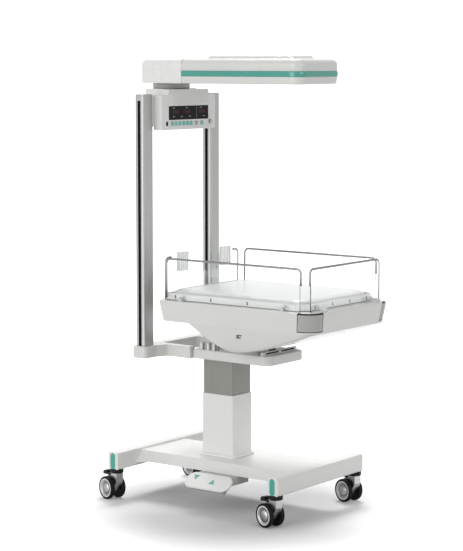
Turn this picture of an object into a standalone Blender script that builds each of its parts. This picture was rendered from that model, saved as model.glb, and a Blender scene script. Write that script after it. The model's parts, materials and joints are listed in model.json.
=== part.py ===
"""Infant radiant warmer: a rolling H base, a telescopic lift column, a yoke with two uprights that
carry the control panel and the swivelling heater head, and a tilting bed with fold-down guards.

Lengths are metres, +Z is up, +X is the bed's width and -Y is the open foot end of the bed.
Everything is laid out from the middle of the base and then moved as one, so that the origin is
under the centre of the whole machine.
"""

import math

import bmesh
import bpy
from mathutils import Vector

# Fits and general values
SEAT_GAP = 0.0003
CUT_OVERRUN = 0.004
ARC_STEPS = 4
ROUND_SIDES = 24
ROD_SIDES = 8

# Base: two cross rails joined by a deck
RAIL_LENGTH = 0.620
RAIL_DEPTH = 0.052
RAIL_HEIGHT = 0.075
RAIL_SPACING = 0.842
RAIL_BOTTOM_Z = 0.135
RAIL_EDGE_RADIUS = 0.007
DECK_WIDTH = 0.300
DECK_THICKNESS = 0.050
DECK_TOP_BELOW_RAIL = 0.010
DECK_SHEET = 0.005
GUSSET_SIZE = 0.045
BUMPER_WIDTH = 0.026
BUMPER_INSET = 0.003
BUMPER_THICKNESS = 0.003
STRIP_ROUND_SHARE = 0.48

# Casters: twin wheels that trail behind a swivel stem
WHEEL_RADIUS = 0.050
WHEEL_WIDTH = 0.020
WHEEL_TRACK = 0.056
HUB_DOME_RADIUS = 0.026
HUB_RING_RADIUS = 0.040
HUB_RECESS = 0.002
TYRE_SHOULDER = 0.005
AXLE_RADIUS = 0.006
CASTER_TRAIL = 0.036
CASTER_STEM_INSET = 0.024
CASTER_SWIVEL_DEG = -15.2
COLLAR_RADIUS = 0.029
COLLAR_HEIGHT = 0.017
COLLAR_LIP = 0.003
FORK_WIDTH = 0.034
FORK_BOSS_RADIUS = 0.021
FORK_AXLE_BOSS = 0.017
FORK_EYE_GAP = 0.0005
PEDAL_PIVOT_BEHIND_STEM = 0.031
PEDAL_PIVOT_BELOW_COLLAR = 0.009
PEDAL_BARREL_RADIUS = 0.005
PEDAL_LENGTH = 0.042
PEDAL_WIDTH = 0.044
PEDAL_THICKNESS = 0.006
PEDAL_LIP_HEIGHT = 0.015
PEDAL_LIP_LENGTH = 0.024
PEDAL_DROP_SHARE = 0.4
HUB_DOME_SHARE = 0.6
FORK_NOSE_SHARE = 0.7

# Lift column: a fixed sleeve, a sliding stage and the drive between them
SLEEVE_WIDTH = 0.140
SLEEVE_DEPTH = 0.165
SLEEVE_HEIGHT = 0.268
SLEEVE_CORNER_RADIUS = 0.010
STAGE_WIDTH = 0.132
STAGE_DEPTH = 0.155
STAGE_INSERTION = 0.138
STAGE_EXTENSION = 0.156
STAGE_WALL = 0.004
STAGE_CORNER_RADIUS = 0.006
COLUMN_CENTRE_Y = 0.044
FLANGE_REACH = 0.012
FLANGE_HEIGHT = 0.014
MOTOR_WIDTH = 0.070
MOTOR_HEIGHT = 0.090
SPINDLE_RADIUS = 0.014
SPINDLE_BELOW_SLEEVE_TOP = 0.028

# Foot switch under the left edge of the deck
FOOT_PAD_LENGTH = 0.236
FOOT_PAD_WIDTH = 0.084
FOOT_PAD_THICKNESS = 0.014
FOOT_PAD_TILT_DEG = 38.0
FOOT_PAD_CENTRE_X = -0.226
FOOT_PAD_CENTRE_Y = -0.034
FOOT_PAD_CENTRE_Z = 0.121
FOOT_PAD_EDGE_RADIUS = 0.004
FULCRUM_HEIGHT = 0.010
FULCRUM_WIDTH = 0.044
FOOT_BACK_THICKNESS = 0.008
FOOT_HOUSING_LENGTH = 0.190
FOOT_HOUSING_REACH = 0.070
FOOT_HOUSING_HEIGHT = 0.034
FOOT_BACK_SHARE = 0.80
PAD_ROUND_SHARE = 0.96

# Yoke that carries the bed and the two uprights
YOKE_BOX_THICKNESS = 0.040
YOKE_THICKNESS = 0.050
YOKE_BOX_WIDTH = 0.266
YOKE_BOX_FRONT_Y = -0.272
YOKE_BOX_BACK_Y = 0.126
YOKE_BOX_CORNER = 0.040
YOKE_BOX_EDGE = 0.006
YOKE_ARM_WIDTH = 0.032
YOKE_ARM_OUTER_X = 0.150
YOKE_FOOT_OUTER_X = 0.272
YOKE_FOOT_INNER_X = 0.200
YOKE_FOOT_FRONT_Y = 0.272
YOKE_BACK_Y = 0.346
YOKE_BEAM_FRONT_Y = 0.300
YOKE_ARM_BEND_Y = 0.246
YOKE_FOOT_RADIUS = 0.018
YOKE_EDGE_RADIUS = 0.004
FOOT_BOLT_RADIUS = 0.009
FOOT_BOLT_HEIGHT = 0.006

# Uprights: slotted aluminium extrusions
UPRIGHT_OUTER_X = 0.262
UPRIGHT_WIDTH = 0.066
UPRIGHT_DEPTH = 0.046
UPRIGHT_FRONT_Y = 0.284
UPRIGHT_LENGTH = 1.0377
UPRIGHT_CORNER_RADIUS = 0.008
SLOT_MOUTH = 0.015
SLOT_LIP = 0.003
SLOT_WIDTH = 0.024
SLOT_DEPTH = 0.012
UPRIGHT_CAP_HEIGHT = 0.024

# Crosshead between the uprights, with the pedestal that the head turns on
CROSSHEAD_RISE = 0.015
CROSSHEAD_HEIGHT = 0.1275
CROSSHEAD_BACK_Y = 0.345
PEDESTAL_WIDTH = 0.220
PEDESTAL_BACK_Y = 0.413
PEDESTAL_HEIGHT = 0.0295
PEDESTAL_RADIUS = 0.030

# Control panel on the crosshead
PANEL_WIDTH = 0.366
PANEL_DEPTH = 0.0435
PANEL_STANDS_PROUD = 0.035
PANEL_DROP = 0.127
PANEL_HEIGHT = 0.147
PANEL_TAB_RISE = 0.023
PANEL_TAB_WIDTH = 0.262
PANEL_TAB_SLOPE = 0.010
PANEL_EDGE_RADIUS = 0.005
DISPLAY_WIDTH = 0.270
DISPLAY_HEIGHT = 0.058
DISPLAY_RISE = 0.071
DISPLAY_DEPTH = 0.004
KEY_ROW_RISE = 0.026
KEY_WIDTH = 0.019
KEY_HEIGHT = 0.017
KEY_PITCH = 0.0255
KEY_FIRST_X = -0.112
KEY_DEPTH = 0.005
KEY_PROUD = 0.0015
KEY_RADIUS = 0.003
KEY_TRAVEL = 0.001
MODE_KEY_COUNT = 6
SILENCE_KEY_X = 0.052
START_KEY_X = 0.090
KNOB_X = 0.147
KNOB_RISE = 0.030
KNOB_RADIUS = 0.009
KNOB_LENGTH = 0.014
PORT_X = -0.147
PORT_WIDTH = 0.014
PORT_HEIGHT = 0.020
PORT_DEPTH = 0.010

# Heater head
HEAD_CENTRE_Y = 0.3445
SWIVEL_RADIUS = 0.080
SWIVEL_HEIGHT = 0.0234
HEAD_WIDTH = 0.300
HEAD_SIDE_HEIGHT = 0.095
HEAD_CROWN = 0.008
HEAD_BACK_Y = 0.401
HEAD_SEAM_Y = 0.1715
HEAD_SEAM_GAP = 0.0006
HEAD_FRONT_Y = -0.434
HEAD_CORNER_RADIUS = 0.045
HEAD_BACK_RADIUS = 0.032
HEAD_CROWN_INSET = 0.020
SHELL_EDGE = 0.004
SEAM_DRAFT = 0.001
CROWN_ROUND_SHARE = 0.5
BAND_RISE = 0.030
BAND_HEIGHT = 0.023
BAND_PROUD = 0.0025
PLATEAU_WIDTH = 0.180
PLATEAU_BACK_Y = 0.095
PLATEAU_FRONT_Y = -0.353
PLATEAU_HEIGHT = 0.013
PLATEAU_SLOPE = 0.014
HEATER_WELL_WIDTH = 0.200
HEATER_WELL_LENGTH = 0.420
HEATER_WELL_ROOF = 0.022
HEATER_WELL_RADIUS = 0.020
REFLECTOR_WALL = 0.0015
REFLECTOR_RISE = 0.009
HEATER_ROD_RADIUS = 0.007
HEATER_CAP_RADIUS = 0.011
HEATER_CAP_LENGTH = 0.022
HEATER_ROD_RISE = 0.039
GUARD_GRILLE_THICKNESS = 0.003
GUARD_GRILLE_RISE = 0.003
GRILLE_RIM = 0.006
GRILLE_BAR = 0.003
GRILLE_BAR_COUNT = 17

# Bed hull, tray and mattress
BED_WIDTH = 0.580
BED_BACK_Y = 0.195
BED_FRONT_Y = -0.600
HULL_HEIGHT = 0.089
BED_RIM_ROLL = 0.006
BED_TAPER = 0.012
BED_FRONT_RADIUS = 0.062
BED_BACK_RADIUS = 0.030
BELLY_BACK_INSET = 0.145
BELLY_FRONT_INSET = 0.002
BELLY_CREASE_INSET = 0.002
BELLY_BOTTOM_HALF_LENGTH = 0.030
BELLY_BOTTOM_INSET = 0.060
BELLY_ROUND_SHARE = 1.35
BELLY_STATION_SHARES = (0.0, 0.2, 0.4, 0.6, 0.78, 0.92, 1.0)
BELLY_CORNER_SHARE = 0.9
ROLL_SHARE = 0.3
BELLY_DEPTH = 0.109
BELLY_CLEARANCE = 0.013
SOCKET_Y = -0.211
SOCKET_RISE = 0.075
SOCKET_RADIUS = 0.006
SOCKET_DEPTH = 0.012
TILT_AXIS_Y = -0.165
TILT_AXIS_RISE = 0.004
TILT_BLADE_WIDTH = 0.050
TILT_BLADE_DEPTH = 0.056
TILT_PIN_RADIUS = 0.009
TILT_PIN_LENGTH = 0.130
TILT_WELL_WIDTH = 0.060
TILT_WELL_DEPTH = 0.124
TILT_WELL_HEADROOM = 0.036
BLADE_ROUND_SHARE = 0.98
STOP_RADIUS = 0.011
STOP_HEIGHT = 0.024
STOP_SPACING = 0.044
STOP_Y = 0.060
FRONT_PLATE_Y = -0.234
FRONT_PLATE_THICKNESS = 0.012
FRONT_PLATE_HEIGHT = 0.013
FRONT_PLATE_WIDTH = 0.240
FRONT_SLOT_WIDTH = 0.092
FRONT_SLOT_HEIGHT = 0.007
FRONT_SLOT_DEPTH = 0.006
FRONT_SLOT_SPACING = 0.110
FOOT_PLATE_THICKNESS = 0.004
INSERT_DEPTH = 0.004
INSERT_TOP_DROP = 0.008
INSERT_FOOT_GAP = 0.003
INSERT_START_SHARE = -0.12
INSERT_SWEEP_SHARE = 1.24
TRAY_SIDE_INSET = 0.028
TRAY_BACK_INSET = 0.029
TRAY_FRONT_INSET = 0.062
TRAY_HEIGHT = 0.028
TRAY_WALL = 0.004
TRAY_CORNER = 0.040
TRAY_NOTCH_WIDTH = 0.006
TRAY_NOTCH_HEIGHT = 0.014
TRAY_NOTCH_DEPTH = 0.002
TRAY_NOTCH_SHARES = (0.08, 0.36, 0.64, 0.92)
MATTRESS_EDGE_GAP = 0.002
MATTRESS_HEIGHT = 0.036
MATTRESS_CROWN = 0.007
MATTRESS_DRAW_IN = 0.005
MATTRESS_LEVEL_SHARES = (0.0, 0.12, 0.5, 0.82, 0.95, 1.0)
MATTRESS_INSET_SHARES = (1.2, 0.0, 1.0, 0.0, 1.0, 3.2)
MATTRESS_CROWN_SHARES = (0.12, 0.3, 0.55, 0.8)
MATTRESS_ROUND_SHARE = 0.4

# Fold-down guards round the bed
GUARD_SIDE_INSET = 0.0185
GUARD_FRONT_INSET = 0.0415
GUARD_BACK_INSET = 0.019
GUARD_END_BACK_INSET = 0.042
GUARD_END_FRONT_INSET = 0.070
GUARD_END_SIDE_INSET = 0.040
GUARD_HEIGHT = 0.173
GUARD_ROD_RADIUS = 0.004
GUARD_BEND_RADIUS = 0.020
GUARD_SHORT_POST = 0.066
GUARD_PANE = 0.004
HINGE_LENGTH = 0.016
HINGE_HEIGHT = 0.008
HINGE_LEAF = 0.003
LEAF_FOOT_SHARE = 0.5
HINGE_PLACE_SHARES = (0.12, 0.88)
HOLDER_ROD_GAP = 0.037
NOTCH_DEPTH = 0.076
NOTCH_RADIUS = 0.012
BACK_ROD_REACH = 0.036
HOLDER_WIDTH = 0.060
HOLDER_HEIGHT = 0.080
HOLDER_DEPTH = 0.018
HOLDER_TOP_ABOVE_ROD = 0.018
HOLDER_RIBS = 5
HOLDER_EDGE_GAP = 0.012
RIB_START_SHARE = 0.2

# Places that follow from the sizes above
RAIL_TOP_Z = RAIL_BOTTOM_Z + RAIL_HEIGHT
RAIL_Y = RAIL_SPACING / 2
DECK_TOP_Z = RAIL_TOP_Z - DECK_TOP_BELOW_RAIL
DECK_BOTTOM_Z = DECK_TOP_Z - DECK_THICKNESS
DECK_LENGTH = RAIL_SPACING - RAIL_DEPTH - 2 * SEAT_GAP
COLLAR_BOTTOM_Z = RAIL_BOTTOM_Z - COLLAR_HEIGHT
FORK_TOP_Z = COLLAR_BOTTOM_Z - SEAT_GAP
AXLE_Z = WHEEL_RADIUS * math.cos(math.pi / ROUND_SIDES)
STEM_X = RAIL_LENGTH / 2 - CASTER_STEM_INSET
SLEEVE_TOP_Z = DECK_TOP_Z + SLEEVE_HEIGHT
STAGE_BOTTOM_Z = SLEEVE_TOP_Z - STAGE_INSERTION
SPINDLE_TOP_Z = SLEEVE_TOP_Z - SPINDLE_BELOW_SLEEVE_TOP
YOKE_BOTTOM_Z = SLEEVE_TOP_Z + STAGE_EXTENSION
YOKE_TOP_Z = YOKE_BOTTOM_Z + YOKE_THICKNESS
YOKE_BOX_TOP_Z = YOKE_BOTTOM_Z + YOKE_BOX_THICKNESS
UPRIGHT_TOP_Z = YOKE_TOP_Z + SEAT_GAP + UPRIGHT_LENGTH
UPRIGHT_X = UPRIGHT_OUTER_X - UPRIGHT_WIDTH / 2
UPRIGHT_Y = UPRIGHT_FRONT_Y + UPRIGHT_DEPTH / 2
PANEL_FRONT_Y = UPRIGHT_FRONT_Y - PANEL_STANDS_PROUD
PANEL_BACK_Y = PANEL_FRONT_Y + PANEL_DEPTH
PANEL_BOTTOM_Z = UPRIGHT_TOP_Z - PANEL_DROP
PANEL_SHOULDER_Z = PANEL_BOTTOM_Z + PANEL_HEIGHT
PANEL_TOP_Z = PANEL_SHOULDER_Z + PANEL_TAB_RISE
DISPLAY_CENTRE_Z = PANEL_BOTTOM_Z + DISPLAY_RISE
KEY_ROW_Z = PANEL_BOTTOM_Z + KEY_ROW_RISE
KNOB_Z = PANEL_BOTTOM_Z + KNOB_RISE
CROSSHEAD_BOTTOM_Z = PANEL_BOTTOM_Z + CROSSHEAD_RISE
CROSSHEAD_TOP_Z = CROSSHEAD_BOTTOM_Z + CROSSHEAD_HEIGHT
PEDESTAL_TOP_Z = CROSSHEAD_TOP_Z + PEDESTAL_HEIGHT
CROSSHEAD_WIDTH = 2 * (UPRIGHT_OUTER_X - UPRIGHT_WIDTH - SEAT_GAP)
PEDESTAL_FRONT_Y = PANEL_BACK_Y + SEAT_GAP
SWIVEL_BOTTOM_Z = PEDESTAL_TOP_Z + SEAT_GAP
SWIVEL_TOP_Z = SWIVEL_BOTTOM_Z + SWIVEL_HEIGHT
HEAD_BOTTOM_Z = SWIVEL_TOP_Z + SEAT_GAP
HEAD_SIDE_TOP_Z = HEAD_BOTTOM_Z + HEAD_SIDE_HEIGHT
HEAD_TOP_Z = HEAD_SIDE_TOP_Z + HEAD_CROWN
BAND_BOTTOM_Z = HEAD_BOTTOM_Z + BAND_RISE
BAND_TOP_Z = BAND_BOTTOM_Z + BAND_HEIGHT
HEATER_WELL_TOP_Z = HEAD_TOP_Z - HEATER_WELL_ROOF
HEATER_CENTRE_Y = (HEAD_SEAM_Y + HEAD_FRONT_Y) / 2
REFLECTOR_BOTTOM_Z = HEAD_BOTTOM_Z + REFLECTOR_RISE
HEATER_ROD_Z = HEAD_BOTTOM_Z + HEATER_ROD_RISE
GUARD_GRILLE_Z = HEAD_BOTTOM_Z + GUARD_GRILLE_RISE
BELLY_BOTTOM_Z = YOKE_TOP_Z + BELLY_CLEARANCE
BED_SKIRT_Z = BELLY_BOTTOM_Z + BELLY_DEPTH
BED_RIM_Z = BED_SKIRT_Z + HULL_HEIGHT
TILT_AXIS_Z = BED_SKIRT_Z + TILT_AXIS_RISE
GUARD_ROD_Z = BED_RIM_Z + GUARD_HEIGHT
NOTCH_BOTTOM_Z = GUARD_ROD_Z - NOTCH_DEPTH
TRAY_BOTTOM_Z = BED_RIM_Z + SEAT_GAP
TRAY_TOP_Z = TRAY_BOTTOM_Z + TRAY_HEIGHT
MATTRESS_BOTTOM_Z = TRAY_BOTTOM_Z + TRAY_WALL + SEAT_GAP
BELLY_BACK_Y = BED_BACK_Y - BELLY_BACK_INSET
BELLY_BOTTOM_WIDTH = BED_WIDTH - 2 * BELLY_BOTTOM_INSET
TRAY_WIDTH = BED_WIDTH - 2 * TRAY_SIDE_INSET
TRAY_BACK_Y = BED_BACK_Y - TRAY_BACK_INSET
TRAY_FRONT_Y = BED_FRONT_Y + TRAY_FRONT_INSET
GUARD_SIDE_X = BED_WIDTH / 2 - GUARD_SIDE_INSET
GUARD_END_X = BED_WIDTH / 2 - GUARD_END_SIDE_INSET
GUARD_FRONT_Y = BED_FRONT_Y + GUARD_FRONT_INSET
GUARD_BACK_Y = BED_BACK_Y - GUARD_BACK_INSET
GUARD_END_BACK_Y = BED_BACK_Y - GUARD_END_BACK_INSET
GUARD_END_FRONT_Y = BED_FRONT_Y + GUARD_END_FRONT_INSET
HOLDER_OUTER_X = GUARD_END_X - BACK_ROD_REACH - HOLDER_ROD_GAP
NOTCH_WIDTH = 2 * (HOLDER_OUTER_X - HOLDER_WIDTH - HOLDER_EDGE_GAP)
HINGE_Z = BED_RIM_Z + SEAT_GAP + HINGE_HEIGHT
HINGE_LINE_X = BED_WIDTH / 2 - BED_RIM_ROLL
HINGE_LINE_FRONT_Y = BED_FRONT_Y + BED_RIM_ROLL
CASTER_TURN = math.radians(CASTER_SWIVEL_DEG)
CASTER_REACH = Vector((-math.sin(CASTER_TURN), math.cos(CASTER_TURN))) * CASTER_TRAIL


def clear_scene():
    for old in list(bpy.data.objects):
        bpy.data.objects.remove(old, do_unlink=True)


def look(name, colour, roughness, metallic=0.0):
    material = bpy.data.materials.new(name)
    material.use_nodes = True
    shader = material.node_tree.nodes["Principled BSDF"]
    shader.inputs["Base Color"].default_value = (*colour, 1.0)
    shader.inputs["Roughness"].default_value = roughness
    shader.inputs["Metallic"].default_value = metallic
    material.diffuse_color = (*colour, 1.0)
    return material


# The point of a frame's drawings that lies at the frame itself
DRAWN_FROM = {}


def joint_frame(name, pivot, parent=None):
    """An empty on a joint's axis; what it carries is drawn in the same layout as its parent's pieces."""
    frame = bpy.data.objects.new(name, None)
    bpy.context.scene.collection.objects.link(frame)
    frame.empty_display_size = WHEEL_RADIUS
    frame.parent = parent
    start = DRAWN_FROM[parent.name] if parent else Vector()
    frame.location = Vector(pivot) - start
    DRAWN_FROM[name] = Vector(pivot)
    return frame


def solid(name, drawing, material, frame):
    """Makes a drawn mesh an object that its frame carries."""
    bmesh.ops.recalc_face_normals(drawing, faces=drawing.faces)
    mesh = bpy.data.meshes.new(name)
    drawing.to_mesh(mesh)
    drawing.free()
    mesh.shade_smooth()
    mesh.set_sharp_from_angle(angle=math.radians(35.0))
    mesh.materials.append(material)
    return carried(name, mesh, frame)


def carried(name, mesh, frame):
    piece = bpy.data.objects.new(name, mesh)
    bpy.context.scene.collection.objects.link(piece)
    piece.parent = frame
    piece.location = -DRAWN_FROM[frame.name]
    return piece


def combine(piece, drawing, operation, label):
    """Cuts a drawn shape out of a piece, or joins it on, with an exact Boolean."""
    bmesh.ops.recalc_face_normals(drawing, faces=drawing.faces)
    mesh = bpy.data.meshes.new(f"{piece.name}_{label}")
    drawing.to_mesh(mesh)
    drawing.free()
    tool = bpy.data.objects.new(f"{piece.name}_{label}", mesh)
    bpy.context.scene.collection.objects.link(tool)
    tool.parent = piece.parent
    tool.location = piece.location
    tool.hide_render = True
    tool.display_type = "WIRE"
    step = piece.modifiers.new(label, "BOOLEAN")
    step.object = tool
    step.operation = operation
    step.solver = "EXACT"
    return piece


def cut(piece, drawing, label):
    return combine(piece, drawing, "DIFFERENCE", label)


def join(piece, drawing, label):
    return combine(piece, drawing, "UNION", label)


def soften(piece, width, segments=2):
    """Rounds the edges of a piece that are sharper than its curved faces."""
    edge = piece.modifiers.new("edges", "BEVEL")
    edge.width = width
    edge.segments = segments
    edge.limit_method = "ANGLE"
    edge.angle_limit = math.radians(40.0)
    edge.harden_normals = False
    return piece


def fillet(corners, radius, steps=ARC_STEPS, is_open=False):
    """Replaces each corner of a 2-D or 3-D outline by an arc; radius is one value or one per corner."""
    count = len(corners)
    radii = radius if isinstance(radius, (list, tuple)) else [radius] * count
    outline = []
    for index, place in enumerate(corners):
        corner = Vector(place)
        size = radii[index]
        if size == 0 or (is_open and index in (0, count - 1)):
            outline.append(corner)
            continue
        back = (Vector(corners[index - 1]) - corner).normalized()
        ahead = (Vector(corners[(index + 1) % count]) - corner).normalized()
        half = back.angle(ahead) / 2
        centre = corner + (back + ahead).normalized() * (size / math.sin(half))
        start = corner + back * (size / math.tan(half)) - centre
        end = corner + ahead * (size / math.tan(half)) - centre
        sweep = start.angle(end)
        for step in range(steps + 1):
            share = step / steps
            mixed = start * math.sin((1 - share) * sweep) + end * math.sin(share * sweep)
            outline.append(centre + mixed / math.sin(sweep))
    return outline


def box_outline(low, high, radius=0.0, steps=ARC_STEPS):
    corners = [(low[0], low[1]), (high[0], low[1]), (high[0], high[1]), (low[0], high[1])]
    return fillet(corners, radius, steps)


def on_plane(outline, axis, level):
    """Stands a 2-D outline on the plane square to an axis, with its two values in X, Y, Z order."""
    if axis == "X":
        return [Vector((level, first, second)) for first, second in outline]
    if axis == "Y":
        return [Vector((first, level, second)) for first, second in outline]
    return [Vector((first, second, level)) for first, second in outline]


def loft(drawing, sections):
    """Skins a row of closed sections of equal point counts and closes both ends."""
    rings = [[drawing.verts.new(point) for point in section] for section in sections]
    for ring, following in zip(rings, rings[1:]):
        for index in range(len(ring)):
            after = (index + 1) % len(ring)
            drawing.faces.new((ring[index], ring[after], following[after], following[index]))
    drawing.faces.new(rings[0])
    drawing.faces.new(rings[-1])
    return drawing


def prism(outline, axis, low, high, drawing=None):
    drawing = drawing or bmesh.new()
    return loft(drawing, [on_plane(outline, axis, low), on_plane(outline, axis, high)])


def block(low, high, drawing=None):
    outline = box_outline(low[:2], high[:2])
    return prism(outline, "Z", low[2], high[2], drawing)


def turned(profile, axis, centre, sides=ROUND_SIDES, drawing=None):
    """Turns (radius, along) points about an axis; a flat of the polygon faces down or along X."""
    drawing = drawing or bmesh.new()
    rings = []
    for radius, along in profile:
        ring = []
        for index in range(sides if radius > 0 else 1):
            angle = 2 * math.pi * (index + 0.5) / sides
            across = radius * math.sin(angle)
            down = -radius * math.cos(angle)
            offset = {
                "X": (along, across, down),
                "Y": (across, along, down),
                "Z": (down, across, along),
            }[axis]
            ring.append(drawing.verts.new(Vector(centre) + Vector(offset)))
        rings.append(ring)
    for ring, following in zip(rings, rings[1:]):
        wide = ring if len(ring) > 1 else following
        for index in range(len(wide)):
            after = (index + 1) % len(wide)
            corners = [ring[index % len(ring)], ring[after % len(ring)]]
            corners += [following[after % len(following)], following[index % len(following)]]
            drawing.faces.new(list(dict.fromkeys(corners)))
    for ring in (rings[0], rings[-1]):
        if len(ring) > 1:
            drawing.faces.new(ring)
    return drawing


def cylinder(radius, axis, centre, low, high, sides=ROUND_SIDES, drawing=None):
    return turned([(radius, low), (radius, high)], axis, centre, sides, drawing)


def swept_rod(path, radius, plane_normal, drawing=None, sides=ROD_SIDES):
    """Sweeps a round section along a bent path that lies in one plane."""
    drawing = drawing or bmesh.new()
    normal = Vector(plane_normal)
    sections = []
    for index, point in enumerate(path):
        before = path[max(index - 1, 0)]
        after = path[min(index + 1, len(path) - 1)]
        tangent = (after - before).normalized()
        across = tangent.cross(normal)
        ring = []
        for side in range(sides):
            angle = 2 * math.pi * (side + 0.5) / sides
            ring.append(point + (across * math.cos(angle) + normal * math.sin(angle)) * radius)
        sections.append(ring)
    return loft(drawing, sections)


def join_rail_fittings(rail, end):
    """A rail's two corner bumpers and the swivel collars under its ends."""
    for label, side in (("left", -1), ("right", 1)):
        outline = box_outline(
            (end * RAIL_Y - BUMPER_WIDTH / 2, RAIL_BOTTOM_Z + BUMPER_INSET),
            (end * RAIL_Y + BUMPER_WIDTH / 2, RAIL_TOP_Z - BUMPER_INSET),
            BUMPER_WIDTH * STRIP_ROUND_SHARE,
        )
        inside = side * (RAIL_LENGTH / 2 - BUMPER_THICKNESS)
        outside = side * (RAIL_LENGTH / 2 + BUMPER_THICKNESS)
        join(rail, prism(outline, "X", inside, outside), f"bumper_{label}")
        profile = [
            (COLLAR_RADIUS - COLLAR_LIP, COLLAR_BOTTOM_Z),
            (COLLAR_RADIUS, COLLAR_BOTTOM_Z + COLLAR_LIP),
            (COLLAR_RADIUS, RAIL_BOTTOM_Z + BUMPER_THICKNESS),
        ]
        join(rail, turned(profile, "Z", (side * STEM_X, end * RAIL_Y, 0)), f"collar_{label}")


def build_base(frame, white):
    for name, side in (("rail_front", -1), ("rail_rear", 1)):
        outline = box_outline(
            (side * RAIL_Y - RAIL_DEPTH / 2, RAIL_BOTTOM_Z),
            (side * RAIL_Y + RAIL_DEPTH / 2, RAIL_TOP_Z),
            RAIL_EDGE_RADIUS,
        )
        rail = solid(name, prism(outline, "X", -RAIL_LENGTH / 2, RAIL_LENGTH / 2), white, frame)
        join_rail_fittings(rail, side)
    deck = block(
        (-DECK_WIDTH / 2, -DECK_LENGTH / 2, DECK_BOTTOM_Z),
        (DECK_WIDTH / 2, DECK_LENGTH / 2, DECK_TOP_Z),
    )
    piece = solid("base_deck", deck, white, frame)
    gussets = bmesh.new()
    for side in (-1, 1):
        for end in (-1, 1):
            foot = Vector((side * (DECK_WIDTH / 2 - SEAT_GAP), end * DECK_LENGTH / 2, DECK_BOTTOM_Z))
            out = Vector((side * GUSSET_SIZE, 0, 0))
            along = Vector((0, -end * GUSSET_SIZE, 0))
            rise = Vector((0, 0, DECK_THICKNESS))
            inward = Vector((-side * GUSSET_SIZE, 0, 0))
            corners = [foot + out, foot + along, foot + rise, foot + inward]
            corners = [gussets.verts.new(corner) for corner in corners]
            for skip in range(len(corners)):
                gussets.faces.new([corner for index, corner in enumerate(corners) if index != skip])
    join(piece, gussets, "gussets")
    underside = block(
        (-DECK_WIDTH / 2 + DECK_SHEET, -DECK_LENGTH / 2 + DECK_SHEET, DECK_BOTTOM_Z - CUT_OVERRUN),
        (DECK_WIDTH / 2 - DECK_SHEET, DECK_LENGTH / 2 - DECK_SHEET, DECK_TOP_Z - DECK_SHEET),
    )
    cut(piece, underside, "underside")


def build_lift_column(frame, white, steel):
    half = Vector((SLEEVE_WIDTH / 2, SLEEVE_DEPTH / 2))
    centre = Vector((0, COLUMN_CENTRE_Y))
    bottom = DECK_TOP_Z + SEAT_GAP
    flange = Vector((FLANGE_REACH, FLANGE_REACH))
    sections = []
    for grow, level in ((flange, 0.0), (flange, FLANGE_HEIGHT / 2), (Vector((0, 0)), FLANGE_HEIGHT)):
        radius = SLEEVE_CORNER_RADIUS + grow.x
        outline = box_outline(centre - half - grow, centre + half + grow, radius)
        sections.append(on_plane(outline, "Z", bottom + level))
    outline = box_outline(centre - half, centre + half, SLEEVE_CORNER_RADIUS)
    sections.append(on_plane(outline, "Z", SLEEVE_TOP_Z))
    sleeve = solid("lift_sleeve", loft(bmesh.new(), sections), white, frame)
    inside = Vector((STAGE_WIDTH / 2 + SEAT_GAP, STAGE_DEPTH / 2 + SEAT_GAP))
    outline = box_outline(centre - inside, centre + inside, STAGE_CORNER_RADIUS + SEAT_GAP)
    bore = prism(outline, "Z", bottom - CUT_OVERRUN, SLEEVE_TOP_Z + CUT_OVERRUN)
    cut(sleeve, bore, "bore")
    half_motor = Vector((MOTOR_WIDTH / 2, MOTOR_WIDTH / 2))
    # The gear motor stands on the deck and the spindle rises from it inside the stage
    drive = bmesh.new()
    outline = box_outline(centre - half_motor, centre + half_motor, SLEEVE_CORNER_RADIUS)
    motor_top = bottom + MOTOR_HEIGHT
    wide = on_plane(outline, "Z", bottom)
    loft(drive, [wide, on_plane(outline, "Z", motor_top)])
    drive = solid("lift_drive", drive, steel, frame)
    spindle = cylinder(SPINDLE_RADIUS, "Z", (0, COLUMN_CENTRE_Y, 0), motor_top - CUT_OVERRUN, SPINDLE_TOP_Z)
    join(drive, spindle, "spindle")


def foot_pad_axes():
    tilt = math.radians(FOOT_PAD_TILT_DEG)
    across = Vector((math.cos(tilt), 0, math.sin(tilt)))
    facing = Vector((-math.sin(tilt), 0, math.cos(tilt)))
    return across, facing


def tilted(outline, depth):
    """Lays a 2-D outline in the pad's slanting plane, at a depth under its middle."""
    across, facing = foot_pad_axes()
    centre = Vector((FOOT_PAD_CENTRE_X, FOOT_PAD_CENTRE_Y, FOOT_PAD_CENTRE_Z)) + facing * depth
    return [centre + across * first + Vector((0, second, 0)) for first, second in outline]


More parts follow.
